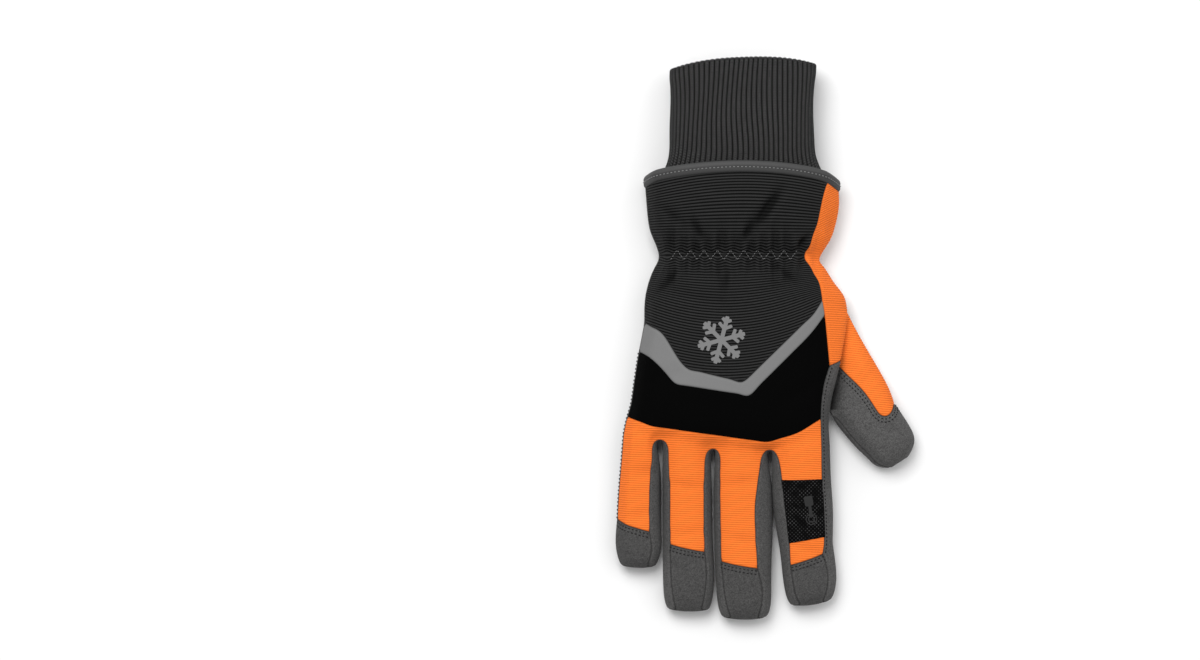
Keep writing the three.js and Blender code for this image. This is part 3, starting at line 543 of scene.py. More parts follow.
def rounded(control, levels):
    """Limit surface of the net, as points in millimetres, faces and each face's cell."""
    mesh = bpy.data.meshes.new("net")
    mesh.from_pydata([tuple(p) for p in control], [], [corners for _, corners in cells])
    mesh.attributes.new("cell", "INT", "FACE").data.foreach_set("value", range(len(cells)))
    mesh.attributes.new("crease_edge", "FLOAT", "EDGE").data.foreach_set(
        "value", [float(tuple(sorted(edge.vertices)) in seam_lines) for edge in mesh.edges])
    net = bpy.data.objects.new("net", mesh)
    bpy.context.scene.collection.objects.link(net)
    subdivision = net.modifiers.new("rounding", "SUBSURF")
    subdivision.levels = subdivision.render_levels = levels
    subdivision.use_limit_surface = True
    made = net.evaluated_get(bpy.context.evaluated_depsgraph_get()).to_mesh()
    places = np.empty(len(made.vertices) * 3)
    made.vertices.foreach_get("co", places)
    owner = np.empty(len(made.polygons), int)
    made.attributes["cell"].data.foreach_get("value", owner)
    faces = [list(polygon.vertices) for polygon in made.polygons]
    bpy.data.objects.remove(net)
    bpy.data.meshes.remove(mesh)
    return Skin(places.reshape(-1, 3), faces, owner)


def fit_control():
    """Net points whose rounded surface passes close to the measured points."""
    target = np.array(points)
    control = target.copy()
    for _ in range(FIT_ROUNDS):
        error = target - rounded(control, 1).points[: len(points)]
        length = np.linalg.norm(error, axis=1, keepdims=True)
        control += FIT_SHARE * error * np.minimum(1, FIT_STEP / np.maximum(length, 1e-6))
    print("net to measured points, mm:", round(float(length.mean()), 2), "mean,",
          round(float(length.max()), 2), "most")
    return control


control = fit_control()

# %% [markdown]
# Cloth is never as even as its pattern. The elastic at the wrist gathers it into small pleats,
# and the resting glove keeps soft dents where the fingers and the wrist bend. Both move the
# shared skin before it is divided into panels, so seams follow every fold.

# %% Gathers and dents
GATHER_PITCH = 7.4
GATHER_REACH = 7.5
GATHER_DEPTH = 3.24
ELASTIC_SINK = 1.1
ELASTIC_WIDTH = 2.6
PAINTED_SHADE_DEPTH = 1.9
DENTS = table(
    "x y reach_x reach_y turn depth",
    [
        (-40, 24, 26, 5, -14, 0.9),
        (8, 30, 20, 4.5, 18, 0.8),
        (-55, -22, 12, 6, 20, 0.7),
        (20, -30, 16, 6, 32, 0.8),
        (-66, -74, 10, 5, 8, 0.8),
        (-44, -82, 11, 4, -6, 0.8),
        (-15, -80, 11, 4.5, 5, 0.8),
        (22, -84, 12, 4.5, 8, 0.8),
        (-70, -98, 9, 4, 14, 0.7),
        (-43, -108, 11, 4, 6, 0.7),
        (-13, -112, 11, 4, -8, 0.7),
        (25, -118, 11, 4, -16, 0.7),
        (56, -22, 9, 5, 35, 0.5),
        (70, -50, 9, 5, -35, 0.7),
        (38, 40, 5, 3, 40, 1.0),
        (38, 62, 4, 9, 8, 1.1),
        (0.5, 71.5, 14, 4.4, 55, 2.8),
        (-11, 58, 8, 3, 68, 1.8),
        (-38, 60, 10, 3.5, -62, 1.7),
        (-51, 67, 11, 4, -35, 1.4),
        (19.5, 52, 8, 2.8, 44, 1.8),
        (-54, 33, 11, 3.2, 47, 1.6),
        (-22, 33, 10, 3, 77, 1.5),
        (10.5, 36.8, 8, 3, -37, 1.5),
    ],
)


def vertex_normals(places, faces):
    """Outward direction at every point, in millimetre space."""
    corners = np.array(faces)
    total = np.zeros_like(places)
    face_normals = np.cross(places[corners[:, 2]] - places[corners[:, 0]],
                            places[corners[:, 3]] - places[corners[:, 1]])
    for i in range(4):
        np.add.at(total, corners[:, i], face_normals)
    return total / np.maximum(np.linalg.norm(total, axis=1, keepdims=True), 1e-9)


# %% Fold over the thumb's root
# The palm's suede wraps over the thumb here, with deep shade on the right of the fold's line.
FOLD = ((45.6, 18.0), (41.6, -14.5), (36.2, -38.5))
FOLD_SHADE = table("y reach depth", [(20, 2.2, 0.1), (-2, 3.8, 0.4), (-16, 5.0, 0.8),
                                     (-30, 6.0, 1.0), (-40, 5.5, 1.0)])


def fold_shade(x, y):
    """Shade beside the fold, deepest in the thumb's crotch: 0 open, 1 dark."""
    heights = [-row.y for row in FOLD_SHADE]
    reach = np.interp(-y, heights, [row.reach for row in FOLD_SHADE])
    depth = np.interp(-y, heights, [row.depth for row in FOLD_SHADE], left=0, right=0)
    line = np.interp(-y, [-point[1] for point in FOLD], [point[0] for point in FOLD])
    aside = x - line
    return depth * bell(np.maximum(aside, 0), reach) * smooth_step(-0.8, 0.2, aside)


def pleat_turn(x):
    """Angle of the elastic's pleats across the wrist, a little uneven."""
    return 2 * math.pi * x / GATHER_PITCH + 0.8 * np.sin(x / 6.3)


# %% Shaping the skin
def shaped(skin):
    """The skin with gathers and dents, its outward directions, and the shade painted into its
    folds.
    """
    places = skin.points.copy()
    normals = vertex_normals(places, skin.faces)
    x, y = places[:, 0], places[:, 1]
    turn = pleat_turn(x)
    near = np.abs(y - ELASTIC_Y) / (GATHER_REACH * (1 + 0.3 * np.sin(x / 4.7)))
    # Pleats of two pitches mix, so that no two are alike.
    pleats = np.sin(turn) + 0.45 * np.sin(0.47 * turn + 1.3)
    flat = smooth_step(0.3, 0.8, np.abs(normals[:, 2]))
    move = GATHER_DEPTH * pleats * near**0.7 * np.exp(-(near**1.6)) * flat
    move = move - ELASTIC_SINK * bell(y - ELASTIC_Y, ELASTIC_WIDTH) * flat
    gathers = move.copy()
    on_back = smooth_step(0.2, 0.7, normals[:, 2])
    for dent in DENTS:
        angle = math.radians(dent.turn)
        along = (x - dent.x) * math.cos(angle) + (y - dent.y) * math.sin(angle)
        across = (y - dent.y) * math.cos(angle) - (x - dent.x) * math.sin(angle)
        fold = bell(along, dent.reach_x) * bell(across, dent.reach_y)
        ridge = 1 - 0.9 * (across / dent.reach_y) ** 2
        move = move - on_back * dent.depth * fold * ridge
    places += normals * move[:, None]
    places[:, 2] = np.maximum(places[:, 2], 0.05)
    # Painted shade: colour darkening that follows the depth of the pleats and dents, plus the shade
    # beside the fold over the thumb.
    shade = fold_shade(x, y) * on_back
    hollow = np.clip((0.6 * gathers - move) / PAINTED_SHADE_DEPTH + shade, 0, 1)
    return Skin(places, skin.faces, skin.cells), vertex_normals(places, skin.faces), hollow


skin, skin_normals, skin_hollow = shaped(rounded(control, 3))
lining, lining_normals, _ = shaped(rounded(control, 2))
panel_of_cell = np.array([panel_names.index(panel) for panel, _ in cells])
skin_panels = panel_of_cell[skin.cells]
lining_panels = panel_of_cell[lining.cells]
print("skin:", len(skin.faces), "faces; inner side:", len(lining.faces))

# %% [markdown]
# The seams of the rounded skin are the edges with a different panel on each side. Stitches are
# laid along them later, and the open edge at the wrist carries the binding.

# %% Seams of the skin
edge_sides = defaultdict(list)
for number, face in enumerate(skin.faces):
    for a, b in zip(face, face[1:] + face[:1]):
        edge_sides[(min(a, b), max(a, b))].append(number)
seam_edges = defaultdict(list)
for edge, sides in edge_sides.items():
    names = sorted({panel_names[skin_panels[side]] for side in sides})
    if len(sides) == 1:
        seam_edges["rim"].append(edge)
    elif len(names) == 2:
        seam_edges[tuple(names)].append(edge)


def chains(edges):
    """Joins edges end to end into paths of points; a closed path ends where it starts."""
    linked = defaultdict(list)
    for a, b in edges:
        linked[a].append(b)
        linked[b].append(a)
    found = []
    while linked:
        ends = [point for point, others in linked.items() if len(others) == 1]
        here = min(ends) if ends else min(linked)
        path = [here]
        while linked.get(here):
            after = linked[here].pop()
            linked[after].remove(here)
            if not linked[here]:
                del linked[here]
            path.append(after)
            here = after
        linked.pop(here, None)
        found.append(path)
    return found


rim_path = max(chains(seam_edges["rim"]), key=len)
print("seams:", len(seam_edges) - 1, " rim points:", len(rim_path) - 1)

# %% [markdown]
# ## Cutting cloth into fine strips
# Ribs and rolled seam edges are real relief, so they need points exactly on their crests and
# grooves. One tool does both: it cuts faces along the lines on which a named value, such as the
# distance to the seam or the count of ribs, reaches given levels.

# %% Cutting tool
COLUMN = {"edge": 6, "rib": 7}


def cut(rows, faces, column, levels):
    """Cuts faces along the lines on which a column reaches each of the rising levels."""
    slack = 0.02 * min(b - a for a, b in zip(levels, levels[1:]))
    made = {}

    def between(a, b, level):
        key = (min(a, b), max(a, b), level)
        if key not in made:
            share = (level - rows[a][column]) / (rows[b][column] - rows[a][column])
            rows.append(tuple(p + (q - p) * share for p, q in zip(rows[a], rows[b])))
            made[key] = len(rows) - 1
        return made[key]

    result = []
    for face in faces:
        values = [rows[i][column] for i in face]
        first = bisect.bisect_right(levels, min(values) + slack)
        last = bisect.bisect_left(levels, max(values) - slack)
        rest = face
        for level in levels[first:last]:
            below, above = [], []
            for a, b in zip(rest, rest[1:] + rest[:1]):
                side_a, side_b = rows[a][column] - level, rows[b][column] - level
                if side_a <= slack:
                    below.append(a)
                if side_a >= -slack:
                    above.append(a)
                if min(side_a, side_b) < -slack and max(side_a, side_b) > slack:
                    new = between(a, b, level)
                    below.append(new)
                    above.append(new)
            if len(below) > 2:
                result.append(below)
            rest = above
        if len(rest) > 2:
            result.append(rest)
    return result


# %% [markdown]
# A panel is lifted out of the skin, and every point keeps its distance to the seam, its count of
# ribs and the shade painted for its folds. These values shape the rolled edge and the ribs, and the
# materials read them too, so that painted shade and relief stay together.

# %% Panel patches
ROLL_REACH = 1.6
ROLL_DEPTH = 0.8
ROLL_LEVELS = [0.15, 0.45, 0.9, 1.6]


def faces_of(surface, cell_numbers):
    """Faces of the skin or the lining that belong to these cells."""
    return np.flatnonzero(np.isin(surface.cells, list(cell_numbers))).tolist()


def panel_cells(names):
    """Numbers of all cells of these panels."""
    return {number for number, (panel, _) in enumerate(cells) if panel in names}


def border(faces):
    """Edges with a face on one side only, in the direction of that face."""
    directed = {(a, b) for face in faces for a, b in zip(face, face[1:] + face[:1])}
    return [(a, b) for a, b in directed if (b, a) not in directed]


def nearest_tree(places):
    """A search tree that finds the nearest of these places."""
    tree = kdtree.KDTree(len(places))
    for number, place in enumerate(places):
        tree.insert(place, number)
    tree.balance()
    return tree


def border_distance(places, edges):
    """Distance in millimetres from each place to the nearest of these skin edges."""
    tree = nearest_tree([lerp(skin.points[a], skin.points[b], share) for a, b in edges
                         for share in (0, 0.25, 0.5, 0.75)])
    return [tree.find(place)[2] for place in places]


# %% Lifting a panel out of the skin
rim_edges = {frozenset(edge) for edge in seam_edges["rim"]}


def patch(cell_numbers, rib_count=None):
    """Rows of a panel's points (place, direction, seam distance, rib count, painted shade), faces.
    """
    chosen = [skin.faces[i] for i in faces_of(skin, cell_numbers)]
    sewn = [edge for edge in border(chosen) if frozenset(edge) not in rim_edges]
    used = sorted({point for face in chosen for point in face})
    renumber = {point: order for order, point in enumerate(used)}
    places, normals = skin.points[used], skin_normals[used]
    ribs = rib_count(places) if rib_count else np.zeros(len(used))
    values = (border_distance(places, sewn), ribs.tolist(), skin_hollow[used].tolist())
    rows = [(*p, *n, *rest) for p, n, *rest in zip(places.tolist(), normals.tolist(), *values)]
    faces = [[renumber[point] for point in face] for face in chosen]
    faces = cut(rows, faces, COLUMN["edge"], ROLL_LEVELS)
    if rib_count:
        levels = [whole + part for whole in range(math.floor(ribs.min()), math.ceil(ribs.max()))
                  for part in (0, 0.18, 0.5, 0.82)]
        faces = cut(rows, faces, COLUMN["rib"], levels)
    return np.array(rows), faces


def rolled(distance, reach=ROLL_REACH, depth=ROLL_DEPTH):
    """How far cloth rounds down towards a seam."""
    share = 1 - np.clip(distance / reach, 0, 1)
    return -depth * (1 - np.sqrt(np.maximum(0, 1 - share**2)))


def rib_relief(count):
    """0 on a rib's crest and -1 in the groove between two ribs."""
    return -np.abs(2 * (count % 1) - 1) ** 3


# %% [markdown]
# Each panel becomes a closed piece of cloth: an outer side with all its relief, a plain inner side
# and a narrow edge between them. The inner side is coarser, because it shows only in the mouth.

# %% Sewing tools
def add_mesh(name, places, faces, material, **attributes):
    """A mesh object from places in millimetres, with its material and point values."""
    mesh = bpy.data.meshes.new(name)
    mesh.from_pydata((np.asarray(places) * MM).tolist(), [], faces)
    for key, values in attributes.items():
        layer = mesh.attributes.new(key, "FLOAT", "POINT")
        layer.data.foreach_set("value", np.asarray(values, float))
    mesh.materials.append(material)
    mesh.polygons.foreach_set("use_smooth", [True] * len(mesh.polygons))
    made = bpy.data.objects.new(name, mesh)
    bpy.context.scene.collection.objects.link(made)
    return made


def finish_piece(piece, slot, *nodes):
    """The piece rides with the glove and stands for these solids of the frame."""
    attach(piece, "root")
    if nodes:
        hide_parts(*nodes)
    print(piece.name, sum(len(face.vertices) - 2 for face in piece.data.polygons), "triangles")
    return piece


# %% Panel of cloth
surfaces = {}


def sew_panel(name, cell_numbers, slot, material, *nodes, thickness=1.1, lift=0.0,
              rib_count=None, rib_depth=0.0, shade=None):
    """A panel as a thick piece of cloth: rolled, ribbed outer side, edges and inner side."""
    rows, faces = patch(cell_numbers, rib_count)
    places, normals = rows[:, :3], rows[:, 3:6]
    edge, ribs, hollow = rows[:, 6], rows[:, 7], rows[:, 8]
    # Painted shade between the fingers is added to the painted shade of the folds.
    if shade:
        hollow = np.maximum(hollow, shade(places))
    normals = normals / np.linalg.norm(normals, axis=1, keepdims=True)
    fade = smooth_step(0.1, 1.1, edge)
    relief = rib_relief(ribs) * fade if rib_count else np.zeros(len(rows))
    outer = places + normals * (rolled(edge) + rib_depth * relief + lift)[:, None]
    surfaces[name] = BVHTree.FromPolygons(outer.tolist(), faces)
    rim = border(faces)
    rim_points = sorted({point for pair in rim for point in pair})
    rim_at = {point: len(outer) + order for order, point in enumerate(rim_points)}
    walls = [[b, a, rim_at[a], rim_at[b]] for a, b in rim]
    inner_side = [lining.faces[i][::-1] for i in faces_of(lining, cell_numbers)]
    used = sorted({point for face in inner_side for point in face})
    inner_at = {point: len(outer) + len(rim_points) + order for order, point in enumerate(used)}
    inner_side = [[inner_at[point] for point in face] for face in inner_side]
    under = places[rim_points] - normals[rim_points] * (thickness - lift)
    inner = lining.points[used] - lining_normals[used] * (thickness - lift)
    tail = len(under) + len(inner)
    made = add_mesh(
        name, np.concatenate([outer, under, inner]), faces + walls + inner_side, material,
        seam=np.append(edge, np.zeros(tail)), rib=np.append(relief, np.full(tail, -1.0)),
        hollow=np.append(hollow, np.zeros(tail)))
    return finish_piece(made, slot, *nodes)


# %% [markdown]
# ## Materials
# The looks come from shader groups that put out only masks and heights. Suede has a fine
# nap and cloudy patches where it was brushed; knit and ribbed cloth have a weave; every
# cloth is a little darker in its seams and lighter where it rubs.

# %% Node tools
def new_group(name, inputs, outputs):
    """An empty shader group with named float or vector sockets."""
    tree = bpy.data.node_groups.new(name, "ShaderNodeTree")
    for label, value in inputs.items():
        kind = "NodeSocketVector" if isinstance(value, tuple) else "NodeSocketFloat"
        socket = tree.interface.new_socket(label, in_out="INPUT", socket_type=kind)
        socket.default_value = value
    for label in outputs:
        tree.interface.new_socket(label, in_out="OUTPUT", socket_type="NodeSocketFloat")
    return tree, tree.nodes.new("NodeGroupInput"), tree.nodes.new("NodeGroupOutput")


def connect(tree, value, socket):
    """Links a socket to a socket, or sets a constant on it."""
    if isinstance(value, bpy.types.NodeSocket):
        tree.links.new(value, socket)
    elif value is not None:
        socket.default_value = value


def maths(tree, operation, *values):
    node = tree.nodes.new("ShaderNodeMath")
    node.operation = operation
    for value, socket in zip(values, node.inputs):
        connect(tree, value, socket)
    return node.outputs[0]


def mapped(tree, value, low, high, to_low=0.0, to_high=1.0):
    """A value's range from low to high, mapped to another range."""
    node = tree.nodes.new("ShaderNodeMapRange")
    for number, item in enumerate((value, low, high, to_low, to_high)):
        connect(tree, item, node.inputs[number])
    return node.outputs[0]


def fade(tree, mask, value):
    """1 where a mask is 0, and the given value where it is 1."""
    return mapped(tree, mask, 0.0, 1.0, 1.0, value)


def spread(tree, mask, amount, low=0.0, high=1.0):
    """A factor round 1 that a mask moves by the amount to both sides."""
    return mapped(tree, mask, low, high, 1 - amount, 1 + amount)


def noise(tree, vector, scale, detail=3.0, roughness=0.55):
    node = tree.nodes.new("ShaderNodeTexNoise")
    connect(tree, vector, node.inputs["Vector"])
    connect(tree, scale, node.inputs["Scale"])
    connect(tree, detail, node.inputs["Detail"])
    connect(tree, roughness, node.inputs["Roughness"])
    return node.outputs["Fac"]


def attribute(tree, name):
    node = tree.nodes.new("ShaderNodeAttribute")
    node.attribute_name = name
    return node.outputs["Fac"]


def object_place(tree):
    return tree.nodes.new("ShaderNodeTexCoord").outputs["Object"]


def axes(tree, vector):
    node = tree.nodes.new("ShaderNodeSeparateXYZ")
    connect(tree, vector, node.inputs[0])
    return node.outputs


# %% [markdown]
# Suede is brushed until short fibres stand up in all directions. It is dull, grainy when seen
# close and cloudy from afar, so two sizes of noise make its grain and a third one its clouds.

# %% Suede nap
def suede_nap_group():
    """Fine nap, brushed clouds and a height for the grain."""
    tree, given, out = new_group("Suede nap", {"Place": (0.0, 0.0, 0.0), "Grain": 1500.0},
                                 ("Nap", "Cloud", "Height"))
    place = given.outputs["Place"]
    fine = noise(tree, place, given.outputs["Grain"], 4.0, 0.7)
    coarse = noise(tree, place, maths(tree, "MULTIPLY", given.outputs["Grain"], 0.4), 3.0, 0.6)
    cloud = noise(tree, place, 42.0)
    nap = maths(tree, "MULTIPLY_ADD", fine, 0.78, maths(tree, "MULTIPLY", coarse, 0.22))
    connect(tree, mapped(tree, nap, 0.32, 0.68), out.inputs["Nap"])
    connect(tree, mapped(tree, cloud, 0.3, 0.7), out.inputs["Cloud"])
    connect(tree, nap, out.inputs["Height"])
    return tree


# %% [markdown]
# The threads of the stretch cloth cross its ribs. They are too fine to model, so a wave along X
# stands for them, made uneven by noise.

# %% Cloth weave
FLECK_SCALE = 2400.0


def cloth_weave_group():
    """Fine threads that run along X over the ribs, with small flecks."""
    tree, given, out = new_group("Cloth weave", {"Place": (0.0, 0.0, 0.0), "Thread": 0.55},
                                 ("Weave", "Fleck"))
    place = given.outputs["Place"]
    turns = maths(tree, "DIVIDE", maths(tree, "MULTIPLY", axes(tree, place)["X"], 2000 * math.pi),
                  given.outputs["Thread"])
    wobble = noise(tree, place, 900.0, 2.0)
    wave = maths(tree, "SINE", maths(tree, "MULTIPLY_ADD", wobble, 5.0, turns))
    fleck = noise(tree, place, FLECK_SCALE, 3.0, 0.7)
    connect(tree, mapped(tree, wave, -1.0, 1.0), out.inputs["Weave"])
    connect(tree, mapped(tree, fleck, 0.3, 0.7), out.inputs["Fleck"])
    return tree


# %% [markdown]
# A rib knit shows columns of V-shaped loops. The cuff's mesh carries its count of ribs and its
# length along the arm, so the loops follow the ribs wherever these bend.

# %% Knit stitches
def knit_group():
    """V-shaped stitches of a rib knit and a mask for painted shade between its ribs, from the count
    of ribs and the way along the cuff.
    """
    tree, given, out = new_group("Rib knit", {"Count": 0.0, "Along": 0.0, "Pitch": 1.5},
                                 ("Stitch", "Groove_shade"))
    inside = maths(tree, "SUBTRACT", maths(tree, "FRACT", given.outputs["Count"]), 0.5)
    aside = maths(tree, "ABSOLUTE", inside)
    course = maths(tree, "DIVIDE", given.outputs["Along"], given.outputs["Pitch"])
    turn = maths(tree, "FRACT", maths(tree, "MULTIPLY_ADD", aside, 1.6, course))
    yarn = maths(tree, "SINE", maths(tree, "MULTIPLY", turn, math.pi))
    connect(tree, yarn, out.inputs["Stitch"])
    connect(tree, mapped(tree, aside, 0.28, 0.5), out.inputs["Groove_shade"])
    return tree


# %% [markdown]
# The touch patch is an open mesh. Two crossing waves give the staggered dots in which its lighter
# backing shows.

# %% Mesh holes
def mesh_group():
    """Staggered small dots of an open mesh, seen from above."""
    tree, given, out = new_group("Mesh holes", {"Place": (0.0, 0.0, 0.0), "Pitch": 2.1},
                                 ("Dot",))
    place = axes(tree, given.outputs["Place"])
    turns = maths(tree, "DIVIDE", 1000 * math.pi, given.outputs["Pitch"])
    diagonals = [maths(tree, operation, place["X"], place["Y"])
                 for operation in ("ADD", "SUBTRACT")]
    waves = [maths(tree, "SINE", maths(tree, "MULTIPLY", value, turns)) for value in diagonals]
    both = maths(tree, "ABSOLUTE", maths(tree, "MULTIPLY", *waves))
    connect(tree, mapped(tree, both, 0.6, 1.0), out.inputs["Dot"])
    return tree


# %% [markdown]
# A seam is a narrow dark valley, and the cloth beside it stands up and gets rubbed. Both come
# from the distance to the seam that every panel carries.

# %% Seam shade and wear
def seam_shade_group():
    """How dark a seam is, and how much its rolled edge is rubbed."""
    tree, given, out = new_group("Seam shade", {"Seam": 5.0, "Place": (0.0, 0.0, 0.0)},
                                 ("Dark", "Rub"))
    near = mapped(tree, given.outputs["Seam"], 0.0, 0.9, 1.0, 0.0)
    off_roll = maths(tree, "ABSOLUTE", maths(tree, "SUBTRACT", given.outputs["Seam"], 1.5))
    band = mapped(tree, off_roll, 0.0, 0.9, 1.0, 0.0)
    patchy = mapped(tree, noise(tree, given.outputs["Place"], 160.0), 0.42, 0.62)
    connect(tree, near, out.inputs["Dark"])
    connect(tree, maths(tree, "MULTIPLY", band, patchy), out.inputs["Rub"])
    return tree


groups = {
    "nap": suede_nap_group(),
    "weave": cloth_weave_group(),
    "knit": knit_group(),
    "mesh": mesh_group(),
    "seam": seam_shade_group(),
}
print("shader groups:", ", ".join(tree.name for tree in groups.values()))


def use_group(tree, key, **inputs):
    """Places a group in a material and gives its outputs."""
    node = tree.nodes.new("ShaderNodeGroup")
    node.node_tree = groups[key]
    for label, value in inputs.items():
        connect(tree, value, node.inputs[label])
    return node.outputs


# %% [markdown]
# Each finish has its own builder round a Principled BSDF. Masks darken or lighten one base colour,
# because cloth of one dye differs in shade and not in hue. Some masks are painted shade in folds
# and grooves.

# %% Material builders
def new_material(name, roughness, specular=0.3, sheen=0.0):
    """A material with its Principled BSDF."""
    material = bpy.data.materials.new(name)
    material.use_nodes = True
    shader = material.node_tree.nodes["Principled BSDF"]
    shader.inputs["Roughness"].default_value = roughness
    shader.inputs["Specular IOR Level"].default_value = specular
    shader.inputs["Sheen Weight"].default_value = sheen
    return material, material.node_tree, shader


def tint(tree, colour, *factors):
    """A colour multiplied by each of the factors."""
    scale = None
    for factor in factors:
        scale = factor if scale is None else maths(tree, "MULTIPLY", scale, factor)
    node = tree.nodes.new("ShaderNodeVectorMath")
    node.operation = "SCALE"
    node.inputs[0].default_value = colour
    connect(tree, scale, node.inputs["Scale"])
    return node.outputs[0]


def seam_masks(tree, place):
    """The seam group, fed with the piece's own distance to its seam."""
    return use_group(tree, "seam", Seam=attribute(tree, "seam"), Place=place)


def painted_fold_shade(tree, value):
    """Painted shade: darkens the colour in folds and creases, down to the given value in the
    deepest.
    """
    hollow = attribute(tree, "hollow")
    return fade(tree, maths(tree, "MULTIPLY", hollow, hollow), value)


def raise_bump(tree, shader, height, distance, strength):
    """Small relief that only bends the light; the distance is in millimetres."""
    node = tree.nodes.new("ShaderNodeBump")
    node.inputs["Distance"].default_value = distance * MM
    node.inputs["Strength"].default_value = strength
    connect(tree, height, node.inputs["Height"])
    connect(tree, node.outputs[0], shader.inputs["Normal"])

# %% Suede
def suede(name, grey):
    """Brushed suede, a little warm, darker in its seams and rubbed beside them, with painted shade
    in its folds.
    """
    material, tree, shader = new_material(name, 0.95, 0.08, 0.05)
    place = object_place(tree)
    nap = use_group(tree, "nap", Place=place, Grain=1500.0)
    seam = seam_masks(tree, place)
    # The last factor paints the shade of the folds, of the thumb's crotch and between the fingers.
    factors = (spread(tree, nap["Nap"], 0.62), spread(tree, nap["Cloud"], 0.04),
               fade(tree, seam["Dark"], 0.5), fade(tree, seam["Rub"], 1.16), painted_fold_shade(tree, 0.12))
    colour = tint(tree, (grey, grey * 0.985, grey * 0.975), *factors)
    connect(tree, colour, shader.inputs["Base Color"])
    raise_bump(tree, shader, nap["Height"], 0.22, 0.7)
    return material

# %% Ribbed cloth
def ribbed(name, colour, groove, crease, grain, specular, glow=1.0):
    """Ribbed cloth: painted shade in its rib grooves and folds, and threads and flecks as strong as
    the grain. Glow is the share of its colour that the cloth throws on the floor."""
    material, tree, shader = new_material(name, 0.82, specular)
    place = object_place(tree)
    weave = use_group(tree, "weave", Place=place)
    # Painted shade: the colour falls to the groove value in the rib grooves.
    low = mapped(tree, attribute(tree, "rib"), -0.4, 0.0, groove)
    factors = (low, fade(tree, seam_masks(tree, place)["Dark"], 0.55),
               spread(tree, weave["Weave"], grain), spread(tree, weave["Fleck"], grain),
               painted_fold_shade(tree, crease))
    cloth = tint(tree, colour, *factors)
    bounced = tree.nodes.new("ShaderNodeHueSaturation")
    on_floor = tree.nodes.new("ShaderNodeLightPath").outputs["Is Diffuse Ray"]
    connect(tree, fade(tree, on_floor, glow), bounced.inputs["Saturation"])
    connect(tree, cloth, bounced.inputs["Color"])
    connect(tree, bounced.outputs[0], shader.inputs["Base Color"])
    raise_bump(tree, shader, maths(tree, "ADD", weave["Weave"], weave["Fleck"]), 0.06, 0.8)
    return material

# %% Smooth cloth and tape
def smooth_cloth(name, grey, roughness, specular, fleck=0.1, bump=0.05):
    """Neoprene, reflective strip, print, rubber and thread: even, with a fine fleck."""
    material, tree, shader = new_material(name, roughness, specular)
    place = object_place(tree)
    grains = noise(tree, place, FLECK_SCALE, 3.0, 0.7)
    seamed = fade(tree, seam_masks(tree, place)["Dark"], 0.7)
    connect(tree, tint(tree, (grey,) * 3, spread(tree, grains, fleck, 0.3, 0.7), seamed),
            shader.inputs["Base Color"])
    raise_bump(tree, shader, grains, bump, 0.6)
    return material


def binding_tape(name, grey, band):
    """Rubbery tape: a lighter rolled edge, a darker band under the stitches, and painted shade in
    the groove that the stitches pull in.
    """
    material, tree, shader = new_material(name, 0.62, 0.25)
    grains = noise(tree, object_place(tree), 1800.0, 3.0, 0.7)
    # Painted shade: the tape's colour drops to 0.12 of its grey in the stitches' groove.
    factors = (spread(tree, grains, 0.08, 0.3, 0.7), fade(tree, attribute(tree, "lower"), band),
               fade(tree, attribute(tree, "groove"), 0.12))
    connect(tree, tint(tree, (grey,) * 3, *factors), shader.inputs["Base Color"])
    raise_bump(tree, shader, grains, 0.05, 0.6)
    return material

# %% Touch cloth and knit
def touch_cloth(name, grey, dot):
    """Open black mesh over a lighter backing that shows through its holes."""
    material, tree, shader = new_material(name, 0.9, 0.03)
    place = object_place(tree)
    holes = use_group(tree, "mesh", Place=place)
    uneven = mapped(tree, noise(tree, place, 200.0, 2.0), 0.4, 0.7, 0.08, 1.0)
    shown = maths(tree, "MULTIPLY", holes["Dot"], uneven)
    spots = spread(tree, noise(tree, place, FLECK_SCALE, 3.0, 0.7), 0.2, 0.3, 0.7)
    connect(tree, tint(tree, (grey,) * 3, fade(tree, shown, dot), spots),
            shader.inputs["Base Color"])
    raise_bump(tree, shader, holes["Dot"], 0.15, -0.8)
    return material


def rib_knit(name, grey):
    """Woolly ribs: light loops, painted shade in the grooves between them, and fuzz."""
    material, tree, shader = new_material(name, 0.95, 0.1)
    place = object_place(tree)
    knit = use_group(tree, "knit", Count=attribute(tree, "count"),
                     Along=attribute(tree, "along"))
    fuzz = noise(tree, place, 1500.0, 3.0, 0.7)
    # Painted shade: the grooves between the knitted ribs are darkened almost to black.
    factors = (mapped(tree, knit["Stitch"], 0.0, 1.0, 0.25, 1.45),
               fade(tree, knit["Groove_shade"], 0.02), spread(tree, fuzz, 0.5, 0.3, 0.7))
    connect(tree, tint(tree, (grey,) * 3, *factors), shader.inputs["Base Color"])
    raise_bump(tree, shader, maths(tree, "MULTIPLY_ADD", fuzz, 0.25, knit["Stitch"]), 0.3, 0.8)
    return material


